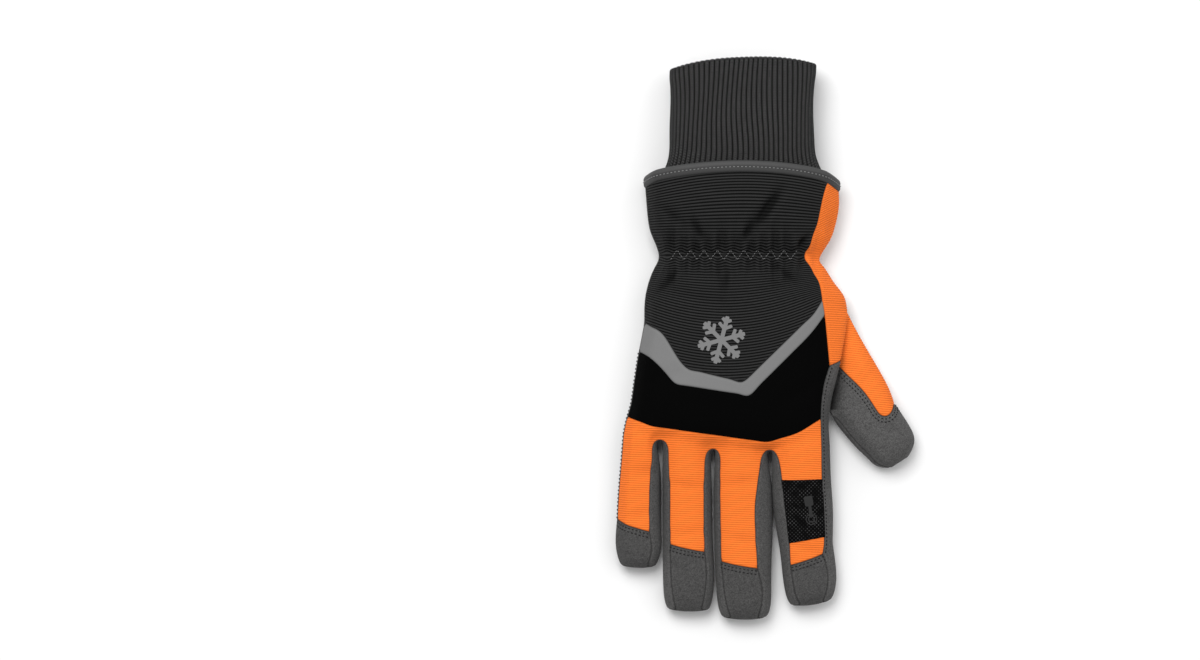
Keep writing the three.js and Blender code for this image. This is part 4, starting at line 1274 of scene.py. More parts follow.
# %% All materials
materials = {
    "suede": suede("Grey suede", 0.06),
    "palm": suede("Grey palm suede", 0.078),
    # groove and crease set how dark the painted shade is in the rib grooves and the deep folds.
    "black": ribbed("Black ribbed cloth", (0.029, 0.029, 0.029), groove=0.0, crease=0.3,
                    grain=0.2, specular=0.1),
    "orange": ribbed("Orange ribbed cloth", (1.0, 0.213, 0.034), groove=0.66, crease=0.45,
                     grain=0.06, specular=0.06, glow=0.35),
    "neoprene": smooth_cloth("Black neoprene", 0.0016, roughness=0.95, specular=0.02, fleck=0.3,
                             bump=0.12),
    "strip": smooth_cloth("Reflective strip", 0.163, roughness=0.7, specular=0.2, fleck=0.05),
    "patch": touch_cloth("Black touch cloth", 0.0022, dot=36.0),
    "knit": rib_knit("Black rib knit", 0.034),
    "tape": binding_tape("Binding tape", 0.05, band=0.7),
    "print": smooth_cloth("Grey print", 0.026, roughness=0.8, specular=0.1),
    "rubber": smooth_cloth("Label rubber", 0.03, roughness=0.55, specular=0.35, fleck=0.05),
    # The near-black thread's colour paints the shade of its stitch holes as well as the thread.
    **{name: smooth_cloth(name.capitalize(), grey, roughness=0.8, specular=0.2, fleck=0.15)
       for name, grey in (("grey thread", 0.05), ("light thread", 0.2), ("thread and hole shade", 0.011))},
}
print("materials:", len(materials))

# %% [markdown]
# ## Sewing the shell
# Black and orange cloth has fine ribs across the hand; it gives way only lengthwise. The ribs are
# counted from a flat line, bent near the rim where the cloth was cut in an arch, and pushed about
# by the pleats of the elastic.

# %% Ribbed panels
BLACK_RIB = 1.59
ORANGE_RIB = 1.23
RIM_ARCH_Y = 86


def black_ribs(places):
    """Count of ribs at each place on the back of the hand."""
    x, y = places[:, 0], places[:, 1]
    arch = 9 * (1 - ((x + 12.3) / 54) ** 2) - 4
    level = y - 0.8 * arch * smooth_step(56, RIM_ARCH_Y, y)
    past = y - ELASTIC_Y
    pull = 0.8 * np.cos(pleat_turn(x)) * bell(past, 6) * np.sign(past)
    sag = 0.0045 * (x + 23) ** 2 * (1 - smooth_step(20, 44, y))
    return (level - sag + pull * smooth_step(0, 2, np.abs(past))) / BLACK_RIB


def orange_ribs(places):
    """Count of ribs on the fingers and on the thumb's side, where they climb past the elastic."""
    x, y = places[:, 0], places[:, 1]
    bent = 0.05 * (x - 40) * smooth_step(35, 60, x)
    climb = -0.55 * (x - 34) * smooth_step(42, 56, y)
    return (y + 0.04 * x + bent + climb) / ORANGE_RIB


RIBBED = table(
    "name panel slot look count depth",
    [
        ("hand_back_cloth", "back_panel", "ribbed_black_cloth", "black", black_ribs, 0.42),
        ("finger_back_cloth", "finger_back", "ribbed_orange_cloth", "orange", orange_ribs, 0.26),
        ("thumb_side_cloth", "thumb_gusset", "ribbed_orange_cloth", "orange", orange_ribs, 0.26),
    ],
)
for row in RIBBED:
    sew_panel(row.name, panel_cells([row.panel]), row.slot, materials[row.look], row.panel,
              rib_count=row.count, rib_depth=row.depth)

# %% [markdown]
# The other panels have no ribs: neoprene over the knuckles, the bent reflective strip, and suede
# for the palm, the inner half of the thumb's back, the fingertips and the walls between the
# fingers.

# %% Smooth panels
SLIT_DARK, SLIT_LIGHT = 12.0, 17.0


def slit_shade(places):
    """Shade between two fingers: deep near their roots, gone towards the tips."""
    deep = 1 - smooth_step(SLIT_DARK, SLIT_LIGHT, places[:, 2])
    return deep * smooth_step(-132, -76, places[:, 1])


SMOOTH = table(
    "name panel slot look shade",
    [
        ("knuckle_band_cloth", "knuckle_band", "black_neoprene", "neoprene", None),
        ("reflective_strip_cloth", "reflective_strip", "reflective_grey", "strip", None),
        ("palm_suede", "palm_panel", "grey_suede", "palm", None),
        ("inner_thumb_suede", "thumb_cap", "grey_suede", "palm", None),
        *((f"{kind}_{number}_suede", f"{kind}_{number}", "grey_suede", look, shade)
          for kind, look, count, shade in (("fingertip_cap", "suede", 4, None),
                                           ("fourchette", "palm", 3, slit_shade))
          for number in range(1, count + 1)),
    ],
)
for row in SMOOTH:
    sew_panel(row.name, panel_cells([row.panel]), row.slot, materials[row.look], row.panel,
              shade=row.shade)
sew_panel("touch_patch_cloth", touch_cells, "black_touch_cloth", materials["patch"],
          "touch_patch", thickness=0.9, lift=0.9)

# %% [markdown]
# ## Rim and cuff
# The gauntlet's edge is bound with a rolled tape. The knitted cuff comes out from under it: a tube
# of rib knit, folded over at its open end, that tightens round the wrist. Its ribs are real
# relief; the material adds only the single stitches and painted shade between the ribs.

# %% Rolled binding
BINDING = {"past": 3.3, "out": -0.75, "half_width": 3.3, "half_height": 1.95, "sides": 28,
           "stitched": -0.12, "dip": 0.45, "dip_reach": 0.15}
TAPE_POWER = 0.75


def ring_faces(sections, size):
    """Faces of a closed ring of closed sections."""
    return [[s * size + k, s * size + (k + 1) % size,
             (s + 1) % sections * size + (k + 1) % size, (s + 1) % sections * size + k]
            for s in range(sections) for k in range(size)]


def smooth_loop(values, rounds):
    """A closed row of values, each averaged with its neighbours."""
    for _ in range(rounds):
        values = (np.roll(values, 1, 0) + 2 * values + np.roll(values, -1, 0)) / 4
    return values


# %% Line of the binding
rim_loop = np.array(rim_path[:-1])
if np.cross(skin.points[rim_loop[1]] - skin.points[rim_loop[0]],
            skin_normals[rim_loop[0]])[1] < 0:
    rim_loop = rim_loop[::-1]
rim_places = smooth_loop(skin.points[rim_loop], 6)
rim_out = smooth_loop(skin_normals[rim_loop] * (1, 0, 1), 6)
rim_out /= np.linalg.norm(rim_out, axis=1, keepdims=True)
print("binding:", len(rim_loop), "sections")


# %% Section of the binding
def stitch_groove(across):
    """1 in the groove that the row of stitches pulls into the tape, 0 away from it."""
    return bell(across - BINDING["stitched"], BINDING["dip_reach"])


def binding_point(order, angle):
    """A place on the rolled tape: around its section by an angle, at one point of the rim."""
    across, up = (signed_power(part, TAPE_POWER) for part in (math.cos(angle), math.sin(angle)))
    past = BINDING["past"] + BINDING["half_width"] * across
    out = BINDING["out"] + BINDING["half_height"] * up
    if up > 0:
        out -= BINDING["dip"] * stitch_groove(across)
    return rim_places[order] + rim_out[order] * out + (0, past, 0)


sides = BINDING["sides"]
turns = [-2 * math.pi * side / sides for side in range(sides)]
tape = [binding_point(order, turn) for order in range(len(rim_loop)) for turn in turns]
across_tape = [signed_power(math.cos(turn), TAPE_POWER) for turn in turns]
below_stitches = [float(across < BINDING["stitched"]) for across in across_tape]
# Where the shade of the stitches' groove is painted onto the tape.
groove_shade = [stitch_groove(across) if math.sin(turn) > 0 else 0.0
             for across, turn in zip(across_tape, turns)]
finish_piece(
    add_mesh("rolled_binding", tape, ring_faces(len(rim_loop), sides), materials["tape"],
             lower=np.tile(below_stitches, len(rim_loop)),
             groove=np.tile(groove_shade, len(rim_loop))), "binding_tape", "cuff_binding")

# %% [markdown]
# The knitted cuff starts inside the gauntlet, held by its rim, and runs free to its open end,
# where it is folded back inside. Cross lines at a few places along the arm are joined by smooth
# curves, and every rib is a wave round the tube.

# %% Knitted cuff
CUFF = table(
    "free back side palm half_width low high aside lean",
    [
        (0, 84, 76, 72, 43, 4, 38, 0, 0),
        (0.6, 96, 91, 86, 41.6, 4, 39, 0, 0),
        (0.95, 107, 104, 101, 40.4, 4, 39, -0.8, 0),
        (1, 124, 122, 120, 39.7, 4, 39, -1.2, 0),
        (1, 142, 140, 140, 40.4, 4, 39.5, -0.8, 0.015),
        (1, 154.8, 150.0, 154.4, 40.8, 4, 39, -0.4, 0.035),
    ],
)
CUFF_CENTRE_X = -12.2
KNIT_RIBS = 72
POINTS_PER_RIB = 8
KNIT_WALL = 2.4
KNIT_RIB_DEPTH = 1.15
RIB_POWER = 2.4
RIB_WANDER = 0.7
SCALLOP = 0.55
OUTER_ROWS = 46
INNER_ROWS = 16
RIM_CENTRE_Z = 21
RIM_CLEARANCE = 4.5
SECTION_SAMPLES = 721
SECTION_POWERS = (0.72, 0.62)


def smooth_table(rows, count):
    """Columns of a table as smooth curves, at `count` even steps from the first row to the last."""
    values = np.array(rows, float)
    values = np.vstack([2 * values[0] - values[1], values, 2 * values[-1] - values[-2]])
    sampled = []
    for step in range(count):
        where = step / (count - 1) * (len(rows) - 1)
        index = min(int(where), len(rows) - 2)
        t = where - index
        a, b, c, d = values[index : index + 4]
        sampled.append(0.5 * (2 * b + (c - a) * t + (2 * a - 5 * b + 4 * c - d) * t**2
                              + (3 * b - a - 3 * c + d) * t**3))
    return [type(rows[0])(*row) for row in sampled]


# %% Where the rim holds the cuff
held = rim_places - rim_out * RIM_CLEARANCE - (CUFF_CENTRE_X, 0, RIM_CENTRE_Z)
held_angle = np.arctan2(held[:, 2], held[:, 0])
held_reach = np.hypot(held[:, 0], held[:, 2])
by_angle = np.argsort(held_angle)
print("cuff held at a reach of", round(float(held_reach.min()), 1), "to",
      round(float(held_reach.max()), 1), "mm")


# %% Cross line of the cuff
def between_ribs(count):
    """0 on the crest of a knitted rib and 1 in the groove between two of them."""
    return np.abs(2 * (count % 1) - 1) ** RIB_POWER


def arc_length(path):
    """Length along a path at each of its points."""
    return np.append(0, np.cumsum(np.linalg.norm(np.diff(path, axis=0), axis=1)))


def cuff_section(row, relief, inset):
    """One cross line of the cuff, its ribs evenly spaced along it."""
    turn = np.linspace(-math.pi / 2, 1.5 * math.pi, SECTION_SAMPLES)
    centre_z, half_height = (row.low + row.high) / 2, (row.high - row.low) / 2
    across, up = map(signed_power, (np.cos(turn), np.sin(turn)), SECTION_POWERS)
    x, z = row.half_width * across, half_height * up
    angle = np.arctan2(z + centre_z - RIM_CENTRE_Z, x)
    reach = np.interp(angle, held_angle[by_angle], held_reach[by_angle], period=2 * math.pi)
    free = min(1.0, max(0.0, row.free))
    x = lerp(reach * np.cos(angle), x, free)
    z = lerp(reach * np.sin(angle) + RIM_CENTRE_Z - centre_z, z, free)
    arch = 1 - np.abs(x / row.half_width) ** 2.4
    y = lerp(row.side, np.where(up > 0, row.back, row.palm), arch) + row.lean * x
    length = arc_length(np.column_stack([x, z]))
    even = np.linspace(0, length[-1], KNIT_RIBS * POINTS_PER_RIB + 1)
    sway = np.sin(row.back / 12 + 6 * math.pi * even / length[-1])
    even = (even + RIB_WANDER * row.free * sway) % length[-1]
    x, y, z = (np.interp(even, length, values) for values in (x, y, z))
    dx, dz = (np.roll(part[:-1], -1) - np.roll(part[:-1], 1) for part in (x, z))
    dx, dz = (np.append(part, part[0]) for part in (dx, dz))
    size = np.hypot(dx, dz)
    count = np.linspace(0, KNIT_RIBS, len(x))
    out = -relief * between_ribs(count) - inset
    x, z = x + dz / size * out, z - dx / size * out
    return np.stack([x + CUFF_CENTRE_X + row.aside, y, z + centre_z], axis=1), count


# %% Rows of the cuff
def cuff_rows():
    """Rows from the hidden end, along the outer side, round the open end and back inside."""
    outer_rows = smooth_table(CUFF, OUTER_ROWS)
    inner_rows = smooth_table(CUFF, INNER_ROWS)[::-1]
    made = []
    for number, row in enumerate(outer_rows):
        swell = 0.35 * math.sin(number / 3.1) * min(1, (OUTER_ROWS - number) / 8)
        made.append(cuff_section(row, KNIT_RIB_DEPTH, -swell))
    last = outer_rows[-1]
    for turn in (30, 60, 90, 120, 150):
        angle = math.radians(turn)
        relief = KNIT_RIB_DEPTH * math.cos(angle / 2) ** 2 + 0.1
        section, count = cuff_section(last, relief, KNIT_WALL / 2 * (1 - math.cos(angle)))
        section[:, 1] += KNIT_WALL / 2 * math.sin(angle) - SCALLOP * between_ribs(count)
        made.append((section, count))
    made += [cuff_section(row, 0.5, KNIT_WALL + 0.6) for row in inner_rows]
    return made


knit_rows = cuff_rows()
width = KNIT_RIBS * POINTS_PER_RIB + 1
knit_points = np.concatenate([section for section, _ in knit_rows])
steps = [0.0]
for (here, _), (after, _) in zip(knit_rows, knit_rows[1:]):
    steps.append(steps[-1] + float(np.linalg.norm(after - here, axis=1).mean()))
knit_faces = [[r * width + k, r * width + k + 1, s * width + k + 1, s * width + k]
              for r, s in zip(range(len(knit_rows)), [*range(1, len(knit_rows)), 0])
              for k in range(width - 1)]
knit_points[:, 2] = np.maximum(knit_points[:, 2], 0.3)
finish_piece(
    add_mesh("knitted_cuff", knit_points, knit_faces, materials["knit"],
             count=np.tile(knit_rows[0][1], len(knit_rows)),
             along=np.repeat(steps, width)), "rib_knit", "knit_cuff")

# %% [markdown]
# ## Flat pieces
# Pads, tab and label are cut flat. Each starts as an outline, is filled with a mesh, and gets its
# thickness from the distance to its own edge, which gives quilted suede its soft shoulder and the
# moulded label its raised rim.

# %% Outlines and plates
def rounded_outline(corners, radius, spacing=1.0):
    """Points round a polygon whose corners are replaced by curves."""
    corners = [np.array(corner, float) for corner in corners]
    outline = []
    for before, corner, after in zip(corners[-1:] + corners, corners, corners[1:] + corners[:1]):
        to_before, to_after = before - corner, after - corner
        reach = min(radius, 0.4 * np.linalg.norm(to_before), 0.4 * np.linalg.norm(to_after))
        start = corner + to_before / np.linalg.norm(to_before) * reach
        end = corner + to_after / np.linalg.norm(to_after) * reach
        for t in np.linspace(0, 1, 7):
            outline.append((1 - t) ** 2 * start + 2 * t * (1 - t) * corner + t**2 * end)
    closed = np.array(outline + outline[:1])
    length = arc_length(closed)
    even = np.linspace(0, length[-1], max(12, int(length[-1] / spacing)) + 1)[:-1]
    return np.stack([np.interp(even, length, closed[:, axis]) for axis in (0, 1)], axis=1)


# %% Filling an outline
def fill_outlines(outlines, spacing):
    """A flat mesh inside the outlines: points and triangles that turn to +Z."""
    everything = np.concatenate(outlines)
    low, high = everything.min(0), everything.max(0)
    starts = np.cumsum([0] + [len(outline) for outline in outlines])
    rings = [list(range(a, b)) for a, b in zip(starts, starts[1:])]
    grid = [(x + spacing / 2 * (row % 2), y)
            for row, y in enumerate(np.arange(low[1], high[1], spacing * 0.87))
            for x in np.arange(low[0], high[0], spacing)]
    edge_tree = nearest_tree([(x, y, 0) for x, y in everything])
    grid = [place for place in grid if edge_tree.find((*place, 0))[2] > 0.55 * spacing]
    flat = [Vector(place) for place in everything.tolist() + grid]
    made = geometry.delaunay_2d_cdt(flat, [], rings, 1, 1e-5)
    places = np.array([tuple(place) for place in made[0]])
    faces = []
    for a, b, c in made[2]:
        turn = np.cross(places[b] - places[a], places[c] - places[a])
        faces.append([a, b, c] if turn > 0 else [a, c, b])
    return places, faces, edge_tree


# %% Plate
def add_plate(name, corners, radius, low, high, relief, levels, material, slot, node,
              spacing=1.6):
    """A flat piece that shows its lower side. relief gives the height over `low` at each
    distance from the edge and place."""
    places, faces, edge_tree = fill_outlines([rounded_outline(corners, radius)], spacing)
    rows = [(x, y, edge_tree.find((x, y, 0))[2]) for x, y in places]
    on_edge = {point for pair in border(faces) for point in pair}
    rows = [(x, y, 0.0 if i in on_edge else d) for i, (x, y, d) in enumerate(rows)]
    faces = cut(rows, faces, 2, levels)
    rows = np.array(rows)
    count = len(rows)
    shown = np.column_stack([rows[:, :2], low + relief(rows)])
    back_z = np.where(rows[:, 2] < 1e-6, shown[:, 2], high)
    hidden = np.column_stack([rows[:, :2], back_z])
    both_sides = [face[::-1] for face in faces]
    surfaces[name] = BVHTree.FromPolygons(shown.tolist(), both_sides)
    both_sides += [[point + count for point in face] for face in faces]
    walls = [[a, b, b + count, a + count] for a, b in border(faces)]
    made = add_mesh(name, np.concatenate([shown, hidden]), both_sides + walls, material,
                    seam=np.tile(rows[:, 2], 2))
    return finish_piece(made, slot, node)


def edge_drop(distance, reach, height):
    """Rounded edge of a plate: the full height at its outline, 0 from the reach on."""
    return height * (1 - np.sqrt(np.clip(distance / reach, 0, 1)))


# %% [markdown]
# Three padded patches protect the palm: under the knuckles, on the thumb's heel and on the outer
# heel. Two rows of stitches press a valley into the padding all the way round.

# %% Padded patches of the palm
PADS = {
    "pad_knuckle": (7, [(19.7, -39), (0, -58.5), (-9, -61.6), (-52, -52), (-70.6, -42.5),
                        (-72, -30), (-66, -16.6), (-33, -27.8)]),
    "pad_thumb_heel": (6, [(15.6, -27), (6, -29.6), (-18.5, -23.4), (-30.6, -2), (1.5, 32.4),
                           (12.5, 15)]),
    "pad_outer_heel": (5, [(-30.4, -20.6), (-47, -18.5), (-66.4, -9.5), (-65.6, 0),
                           (-52.5, 41.6), (-12, 36.5), (-8.6, 31.6), (-38.6, -1)]),
}
PAD_ROWS = (1.3, 3.9)
PAD_LEVELS = [0.35, 0.9, 1.3, 1.8, 2.6, 3.4, 3.9, 4.5, 5.5, 7.5]
PAD_SEAT = PALM_LIFT + 0.25


def quilted(rows):
    """Height over the lowest point: rounded edge, and a dip along each row of stitches."""
    distance = rows[:, 2]
    edge = edge_drop(distance, 1.2, PALM_LIFT)
    dips = sum(bell(distance - row, 0.55) for row in PAD_ROWS)
    shoulder = 0.35 * (1 - smooth_step(3.9, 8, distance))
    return np.minimum(PALM_LIFT, edge + 0.55 * dips + shoulder)


for name, (radius, corners) in PADS.items():
    pad = add_plate(f"{name}_quilt", corners, radius, 0.02, PAD_SEAT, quilted, PAD_LEVELS,
                    materials["palm"], "grey_suede", name)

# %% [markdown]
# A suede tab under the cuff helps to pull the glove on, and a moulded label is sewn to it. Both
# are trapezoids, and the relief of the label follows the distance to its edge.

# %% Cuff tab and label
TAB_FACE = 1.75
LABEL_FACE = 0.25


def trapezoid(centre_x, top_y, top_width, end_width, length):
    """Corners, from its wide end at the rim along the cuff."""
    half_top, half_end = top_width / 2, end_width / 2
    return [(centre_x - half_top, top_y), (centre_x + half_top, top_y),
            (centre_x + half_end, top_y + length), (centre_x - half_end, top_y + length)]


def tab_relief(rows):
    """A rounded edge, and a dip along the row of stitches."""
    distance = rows[:, 2]
    return edge_drop(distance, 0.7, 0.7) + 0.3 * bell(distance - 1.9, 0.4)


def label_relief(rows):
    """Two raised rims, a sunk field with fine lines and a plain band at the narrow end."""
    distance, y = rows[:, 2], rows[:, 1]
    edge = edge_drop(distance, 0.5, 0.5)
    groove = 0.35 * bell(distance - 1.5, 0.25)
    sunk = 0.35 * smooth_step(2.5, 2.9, distance)
    lines = np.where((distance > 3) & (y < 105), 0.16 * np.sin(y * math.pi / 0.9) ** 2, 0)
    return edge + groove + sunk + lines


add_plate("cuff_tab_suede", trapezoid(-13, 78, 43, 26.7, 40), 4.5, TAB_FACE, 3.9, tab_relief,
          [0.25, 0.7, 1.4, 1.9, 2.4], materials["palm"], "grey_suede", "cuff_tab")
add_plate("cuff_label_moulded", trapezoid(-13, 84, 31, 15, 29), 3, LABEL_FACE, TAB_FACE + 0.3,
          label_relief, [0.15, 0.5, 1.2, 1.5, 1.8, 2.5, 2.9, 3.2], materials["rubber"],
          "label_rubber", "cuff_label", spacing=0.45)

# %% [markdown]
# ## Stitches
# Every seam that shows is top-stitched. A stitch is one short piece of thread that comes up out
# of the cloth and goes down again, so each is a small bent rod laid along the seam at a constant
# distance from it.

# %% Thread
THREAD_SIDES = 5
THREAD_RADIUS = 0.2
THREAD_SHAPE = table("along height width", [(-0.5, -0.3, 0.5), (-0.3, 0.1, 1), (0, 0.22, 1),
                                            (0.3, 0.1, 1), (0.5, -0.3, 0.5)])


def even_points(path, pitch):
    """Places along a path at an even pitch, with the path's direction there."""
    path = np.asarray(path, float)
    length = arc_length(path)
    count = max(1, int(length[-1] / pitch))
    even = (np.arange(count) + 0.5) * length[-1] / count
    ahead = np.minimum(even + 0.3, length[-1])
    behind = np.maximum(even - 0.3, 0)
    here, after, before = (
        np.stack([np.interp(where, length, path[:, axis]) for axis in range(3)], 1)
        for where in (even, ahead, behind))
    return here, after - before


# %% Stitching
class Thread:
    """Collects the stitches of one piece."""

    def __init__(self):
        self.places, self.faces = [], []

    def stitch(self, place, along, up, length, radius):
        """One stitch: a rod through the rings of the thread's shape, closed at both ends."""
        along = Vector(along).normalized()
        up = Vector(up).normalized()
        side = along.cross(up).normalized()
        start = len(self.places)
        for ring in THREAD_SHAPE:
            centre = Vector(place) + along * (ring.along * length) + up * ring.height
            for step in range(THREAD_SIDES):
                angle = 2 * math.pi * step / THREAD_SIDES
                offset = side * math.cos(angle) + up * math.sin(angle)
                self.places.append(tuple(centre + offset * radius * ring.width))
        for ring in range(len(THREAD_SHAPE) - 1):
            for step in range(THREAD_SIDES):
                a = start + ring * THREAD_SIDES + step
                b = start + ring * THREAD_SIDES + (step + 1) % THREAD_SIDES
                self.faces.append([a, b, b + THREAD_SIDES, a + THREAD_SIDES])
        last = start + (len(THREAD_SHAPE) - 1) * THREAD_SIDES
        self.faces.append([start + step for step in reversed(range(THREAD_SIDES))])
        self.faces.append([last + step for step in range(THREAD_SIDES)])

    def row(self, surface, path, pitch=2.3, length=1.55, radius=THREAD_RADIUS):
        """A row of stitches along a path, each laid on the surface."""
        places, directions = even_points(path, pitch)
        for place, along in zip(places, directions):
            found, normal, _, away = surfaces[surface].find_nearest(Vector(place))
            if found is not None and away < 4:
                self.stitch(found, along, normal, length, radius)

    def make(self, name, slot, material):
        made = add_mesh(name, self.places, self.faces, material,
                        seam=np.full(len(self.places), 5.0))
        return finish_piece(made, slot)


# %% Lines for the stitches
def seam_paths(first, second):
    """Paths of skin points along the seam between two panels."""
    key = tuple(sorted((first, second)))
    return [path for path in chains(seam_edges.get(key, [])) if len(path) > 6]


def inset_path(path, surface, distance):
    """The path moved sideways onto the surface by a distance."""
    places, ups = skin.points[path], skin_normals[path]
    along = np.gradient(places, axis=0)
    side = np.cross(ups, along)
    side /= np.maximum(np.linalg.norm(side, axis=1, keepdims=True), 1e-9)
    away = []
    for sign in (1, -1):
        reached = [surfaces[surface].find_nearest(Vector(p))[3]
                   for p in (places + sign * 3 * side)[:: max(1, len(path) // 12)]]
        away.append(sum(reached))
    sign = 1 if away[0] < away[1] else -1
    return places + sign * distance * side


# %% [markdown]
# The fingertip caps and the thumb have two rows of stitches beside their seam, the palm's edge has
# one. The rows are found from the seams of the skin, so they follow every dent.

# %% Stitched seams
SEAM_ROWS = table(
    "surface panel other distances",
    [
        *((f"fingertip_cap_{n}_suede", f"fingertip_cap_{n}", "finger_back", (1.4, 3.3))
          for n in range(1, 5)),
        ("inner_thumb_suede", "thumb_cap", "thumb_gusset", (1.5, 3.3)),
        ("palm_suede", "palm_panel", "finger_back", (1.6,)),
        ("palm_suede", "palm_panel", "knuckle_band", (1.6,)),
    ],
)
seam_thread = Thread()
for row in SEAM_ROWS:
    for path in seam_paths(row.panel, row.other):
        for distance in row.distances:
            seam_thread.row(row.surface, inset_path(path, row.surface, distance), 2.1, 1.4, 0.3)
# Near-black thread: the thread and the painted shade of its stitch holes.
seam_thread.make("seam_stitches", "grey_suede", materials["thread and hole shade"])

# %% [markdown]
# The pads' stitches run in the two valleys that their relief leaves for them.

# %% Stitches of the pads
flat_thread = Thread()
for name, (radius, corners) in PADS.items():
    loop = rounded_outline(corners, radius)
    ahead = np.roll(loop, -1, 0) - np.roll(loop, 1, 0)
    inward = np.stack([-ahead[:, 1], ahead[:, 0]], 1)
    inward /= np.linalg.norm(inward, axis=1, keepdims=True)
    # The sign of the area tells which way the outline turns, and so which side is inside.
    area = np.sum(loop[:, 0] * np.roll(loop[:, 1], -1) - np.roll(loop[:, 0], -1) * loop[:, 1])
    for distance in PAD_ROWS:
        moved = loop + inward * distance * np.sign(area)
        closed = np.vstack([moved, moved[:1]])
        flat_thread.row(f"{name}_quilt", np.column_stack([closed, np.zeros(len(closed))]))
# Near-black thread: the thread and the painted shade of its stitch holes.
flat_thread.make("pad_stitches", "grey_suede", materials["thread and hole shade"])

# %% [markdown]
# One row of light thread runs round the rolled tape, down in its groove.

# %% Stitches of the rim
STITCHED_ANGLE = math.acos(signed_power(BINDING["stitched"], 1 / TAPE_POWER))
rim_thread = Thread()
rim_row = [binding_point(order, STITCHED_ANGLE) for order in range(len(rim_loop))]
surfaces["rolled_binding"] = BVHTree.FromPolygons([tuple(p) for p in tape],
                                                  ring_faces(len(rim_loop), sides))
rim_thread.row("rolled_binding", rim_row + rim_row[:1], 2.2, 1.3, 0.26)
rim_thread.make("rim_stitches", "binding_tape", materials["light thread"])

# %% [markdown]
# The elastic is sewn on with a zigzag, because a straight row would break when the wrist is
# stretched. Its stitches are dropped onto the pleats from above, and from below on the palm.

# %% Zigzag over the elastic
zigzag = Thread()
ZIGZAG = table("surface from_x to_x y reach down", [
    ("hand_back_cloth", -53, 19, ELASTIC_Y, 2.7, True),
    ("palm_suede", -52, 14, ELASTIC_Y + 2.5, 3.4, False),
])
for row in ZIGZAG:
    corners = [(x, row.y + (row.reach if number % 2 else -row.reach))
               for number, x in enumerate(np.arange(row.from_x, row.to_x, GATHER_PITCH / 2))]
    for (x0, y0), (x1, y1) in zip(corners, corners[1:]):
        for share in (0.12, 0.38, 0.62, 0.88):
            start = Vector((lerp(x0, x1, share), lerp(y0, y1, share), 60 if row.down else -20))
            ray = Vector((0, 0, -1 if row.down else 1))
            found, normal, _, _ = surfaces[row.surface].ray_cast(start, ray)
            if found is not None:
                zigzag.stitch(found, (x1 - x0, (y1 - y0) * 0.5, 0), normal, 1.2, 0.17)
zigzag.make("elastic_stitches", "ribbed_black_cloth", materials["light thread"])

# %% [markdown]
# The tab has one row of stitches along its edge.

# %% Stitches of the tab
TAB_STITCHES = trapezoid(-13, 80.2, 38.6, 23.6, 35.8)
tab_thread = Thread()
tab_loop = rounded_outline(TAB_STITCHES, 3.5)
tab_loop = np.vstack([tab_loop, tab_loop[:1]])
tab_path = np.column_stack([tab_loop, np.full(len(tab_loop), TAB_FACE)])
tab_thread.row("cuff_tab_suede", tab_path)
tab_thread.make("tab_stitches", "grey_suede", materials["grey thread"])

# %% [markdown]
# ## Print on the back
# A plain snowflake above the strip tells that this is a winter glove. It is pressed on as a thin
# film of the strip's grey, so its flat outline is filled with a mesh and dropped onto the cloth.

# %% Snowflake
MARK_CENTRE = (-24.9, -1.0)
MARK_TURN = 15
ARM_LENGTH = 13.5
ARM_WIDTH = 2.3
BRANCHES = table("at length", [(6.4, 4.6), (10.2, 3.2)])


def bar(start, end, width):
    """Corners of a straight bar between two places, counter-clockwise."""
    start, end = np.array(start), np.array(end)
    along = (end - start) / np.linalg.norm(end - start)
    side = np.array([-along[1], along[0]]) * width / 2
    return [start - side, end - side, end + side, start + side]


def laid(tree, places, lift):
    """Flat places dropped onto a surface from above and lifted a little."""
    dropped = []
    for x, y in places:
        found, normal, _, _ = tree.ray_cast(Vector((x, y, 60)), Vector((0, 0, -1)))
        dropped.append(found + normal * lift)
    return dropped


def snowflake():
    """Bars of the six arms with their branches."""
    bars = []
    for arm in range(6):
        angle = math.radians(MARK_TURN + 60 * arm)
        along = np.array([math.cos(angle), math.sin(angle)])
        centre = np.array(MARK_CENTRE)
        bars.append(bar(centre, centre + along * ARM_LENGTH, ARM_WIDTH))
        for branch in BRANCHES:
            root = centre + along * branch.at
            for turn in (55, -55):
                other = angle + math.radians(turn)
                way = np.array([math.cos(other), math.sin(other)])
                bars.append(bar(root, root + way * branch.length, ARM_WIDTH * 0.8))
    return [rounded_outline(corners, 0.3, 0.8) for corners in bars]


skin_tree = BVHTree.FromPolygons(skin.points.tolist(), skin.faces)
flake_places, flake_faces, _ = fill_outlines(snowflake(), 1.1)
flake = laid(skin_tree, flake_places, 0.12)
finish_piece(add_mesh("snowflake_print", flake, flake_faces, materials["strip"],
                      seam=np.full(len(flake), 5.0)), "reflective_grey")

# %% [markdown]
# The black mesh patch on the index finger works on a touch screen. It carries a small printed
# sign: a plain bar for a finger that points into two rings.

# %% Touch sign
SIGN_CENTRE = (25.4, -100.7)
SIGN_RINGS = table("inner outer", [(1.3, 1.9), (2.7, 3.2)])
SIGN_BARS = table("from_x from_y to_x to_y width", [(25.3, -99.6, 24.4, -93.2, 1.8),
                                                    (24.3, -93.4, 23.3, -87.9, 4.8)])
RING_STEPS = 48


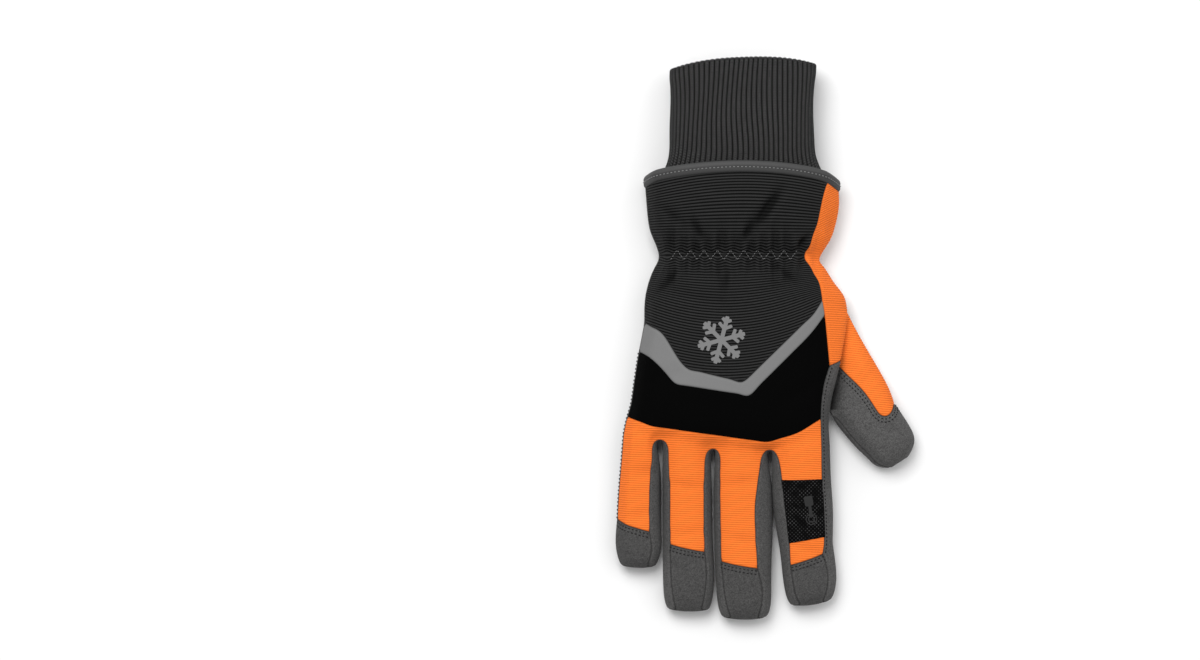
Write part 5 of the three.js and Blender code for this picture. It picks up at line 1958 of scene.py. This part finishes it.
def sign_outline():
    """Flat places and faces of the sign: two bars, and two rings of four-sided faces."""
    outlines = [rounded_outline(bar((row.from_x, row.from_y), (row.to_x, row.to_y), row.width),
                                0.8, 0.6) for row in SIGN_BARS]
    places, faces, _ = fill_outlines(outlines, 0.7)
    places = [tuple(place) for place in places]
    for ring in SIGN_RINGS:
        start = len(places)
        for step in range(RING_STEPS):
            angle = 2 * math.pi * step / RING_STEPS
            places += [(SIGN_CENTRE[0] + radius * math.cos(angle),
                        SIGN_CENTRE[1] + radius * math.sin(angle)) for radius in ring]
            a, b = start + 2 * step, start + 2 * ((step + 1) % RING_STEPS)
            faces.append([a, a + 1, b + 1, b])
    return places, faces


sign_places, sign_faces = sign_outline()
sign = laid(surfaces["touch_patch_cloth"], sign_places, 0.08)
finish_piece(add_mesh("touch_sign_print", sign, sign_faces, materials["print"],
                      seam=np.full(len(sign), 5.0)), "black_touch_cloth")

# %% [markdown]
# ## Photo stage
# The glove lies on a plain pale floor and is seen straight from above, as a catalogue shows such
# gloves. A wide light from the upper left draws the folds, and a weaker one and the pale world
# fill their shade.

# %% Floor, light and camera
FLOOR_SIZE = 6.0
VIEW_CENTRE = (-92.2, 4.5)
VIEW_WIDTH = 672.0
CAMERA_HEIGHT = 3.5
floor_material, floor_tree, floor_shader = new_material("Pale floor", 0.9, 0.1)
floor_shader.inputs["Base Color"].default_value = (0.84, 0.84, 0.84, 1)
half = FLOOR_SIZE / 2 / MM
floor = add_mesh("floor", [(-half, -half, 0), (half, -half, 0), (half, half, 0), (-half, half, 0)],
                 [[0, 1, 2, 3]], floor_material)

world = bpy.data.worlds.new("Soft studio")
world.use_nodes = True
world.node_tree.nodes["Background"].inputs["Color"].default_value = (1, 1, 1, 1)
world.node_tree.nodes["Background"].inputs["Strength"].default_value = 0.55
bpy.context.scene.world = world


def soft_light(name, place, size, power):
    """A square light that looks at the middle of the glove."""
    data = bpy.data.lights.new(name, "AREA")
    data.size, data.energy = size, power
    made = bpy.data.objects.new(name, data)
    made.location = place
    made.rotation_euler = (-Vector(place)).to_track_quat("-Z", "Y").to_euler()
    bpy.context.scene.collection.objects.link(made)


soft_light("key_light", (-0.4, 0.75, 1.65), 1.0, 26)
soft_light("fill_light", (0.9, 0.5, 1.6), 1.4, 7.5)

camera_data = bpy.data.cameras.new("camera")
camera_data.sensor_width = 36
camera_data.lens = camera_data.sensor_width * CAMERA_HEIGHT / (VIEW_WIDTH * MM)
camera_data.clip_end = 10
camera = bpy.data.objects.new("camera", camera_data)
camera.location = (VIEW_CENTRE[0] * MM, VIEW_CENTRE[1] * MM, CAMERA_HEIGHT)
bpy.context.scene.collection.objects.link(camera)
bpy.context.scene.camera = camera
bpy.context.scene.view_settings.view_transform = "Standard"
print("camera lens, mm:", round(camera_data.lens, 1))
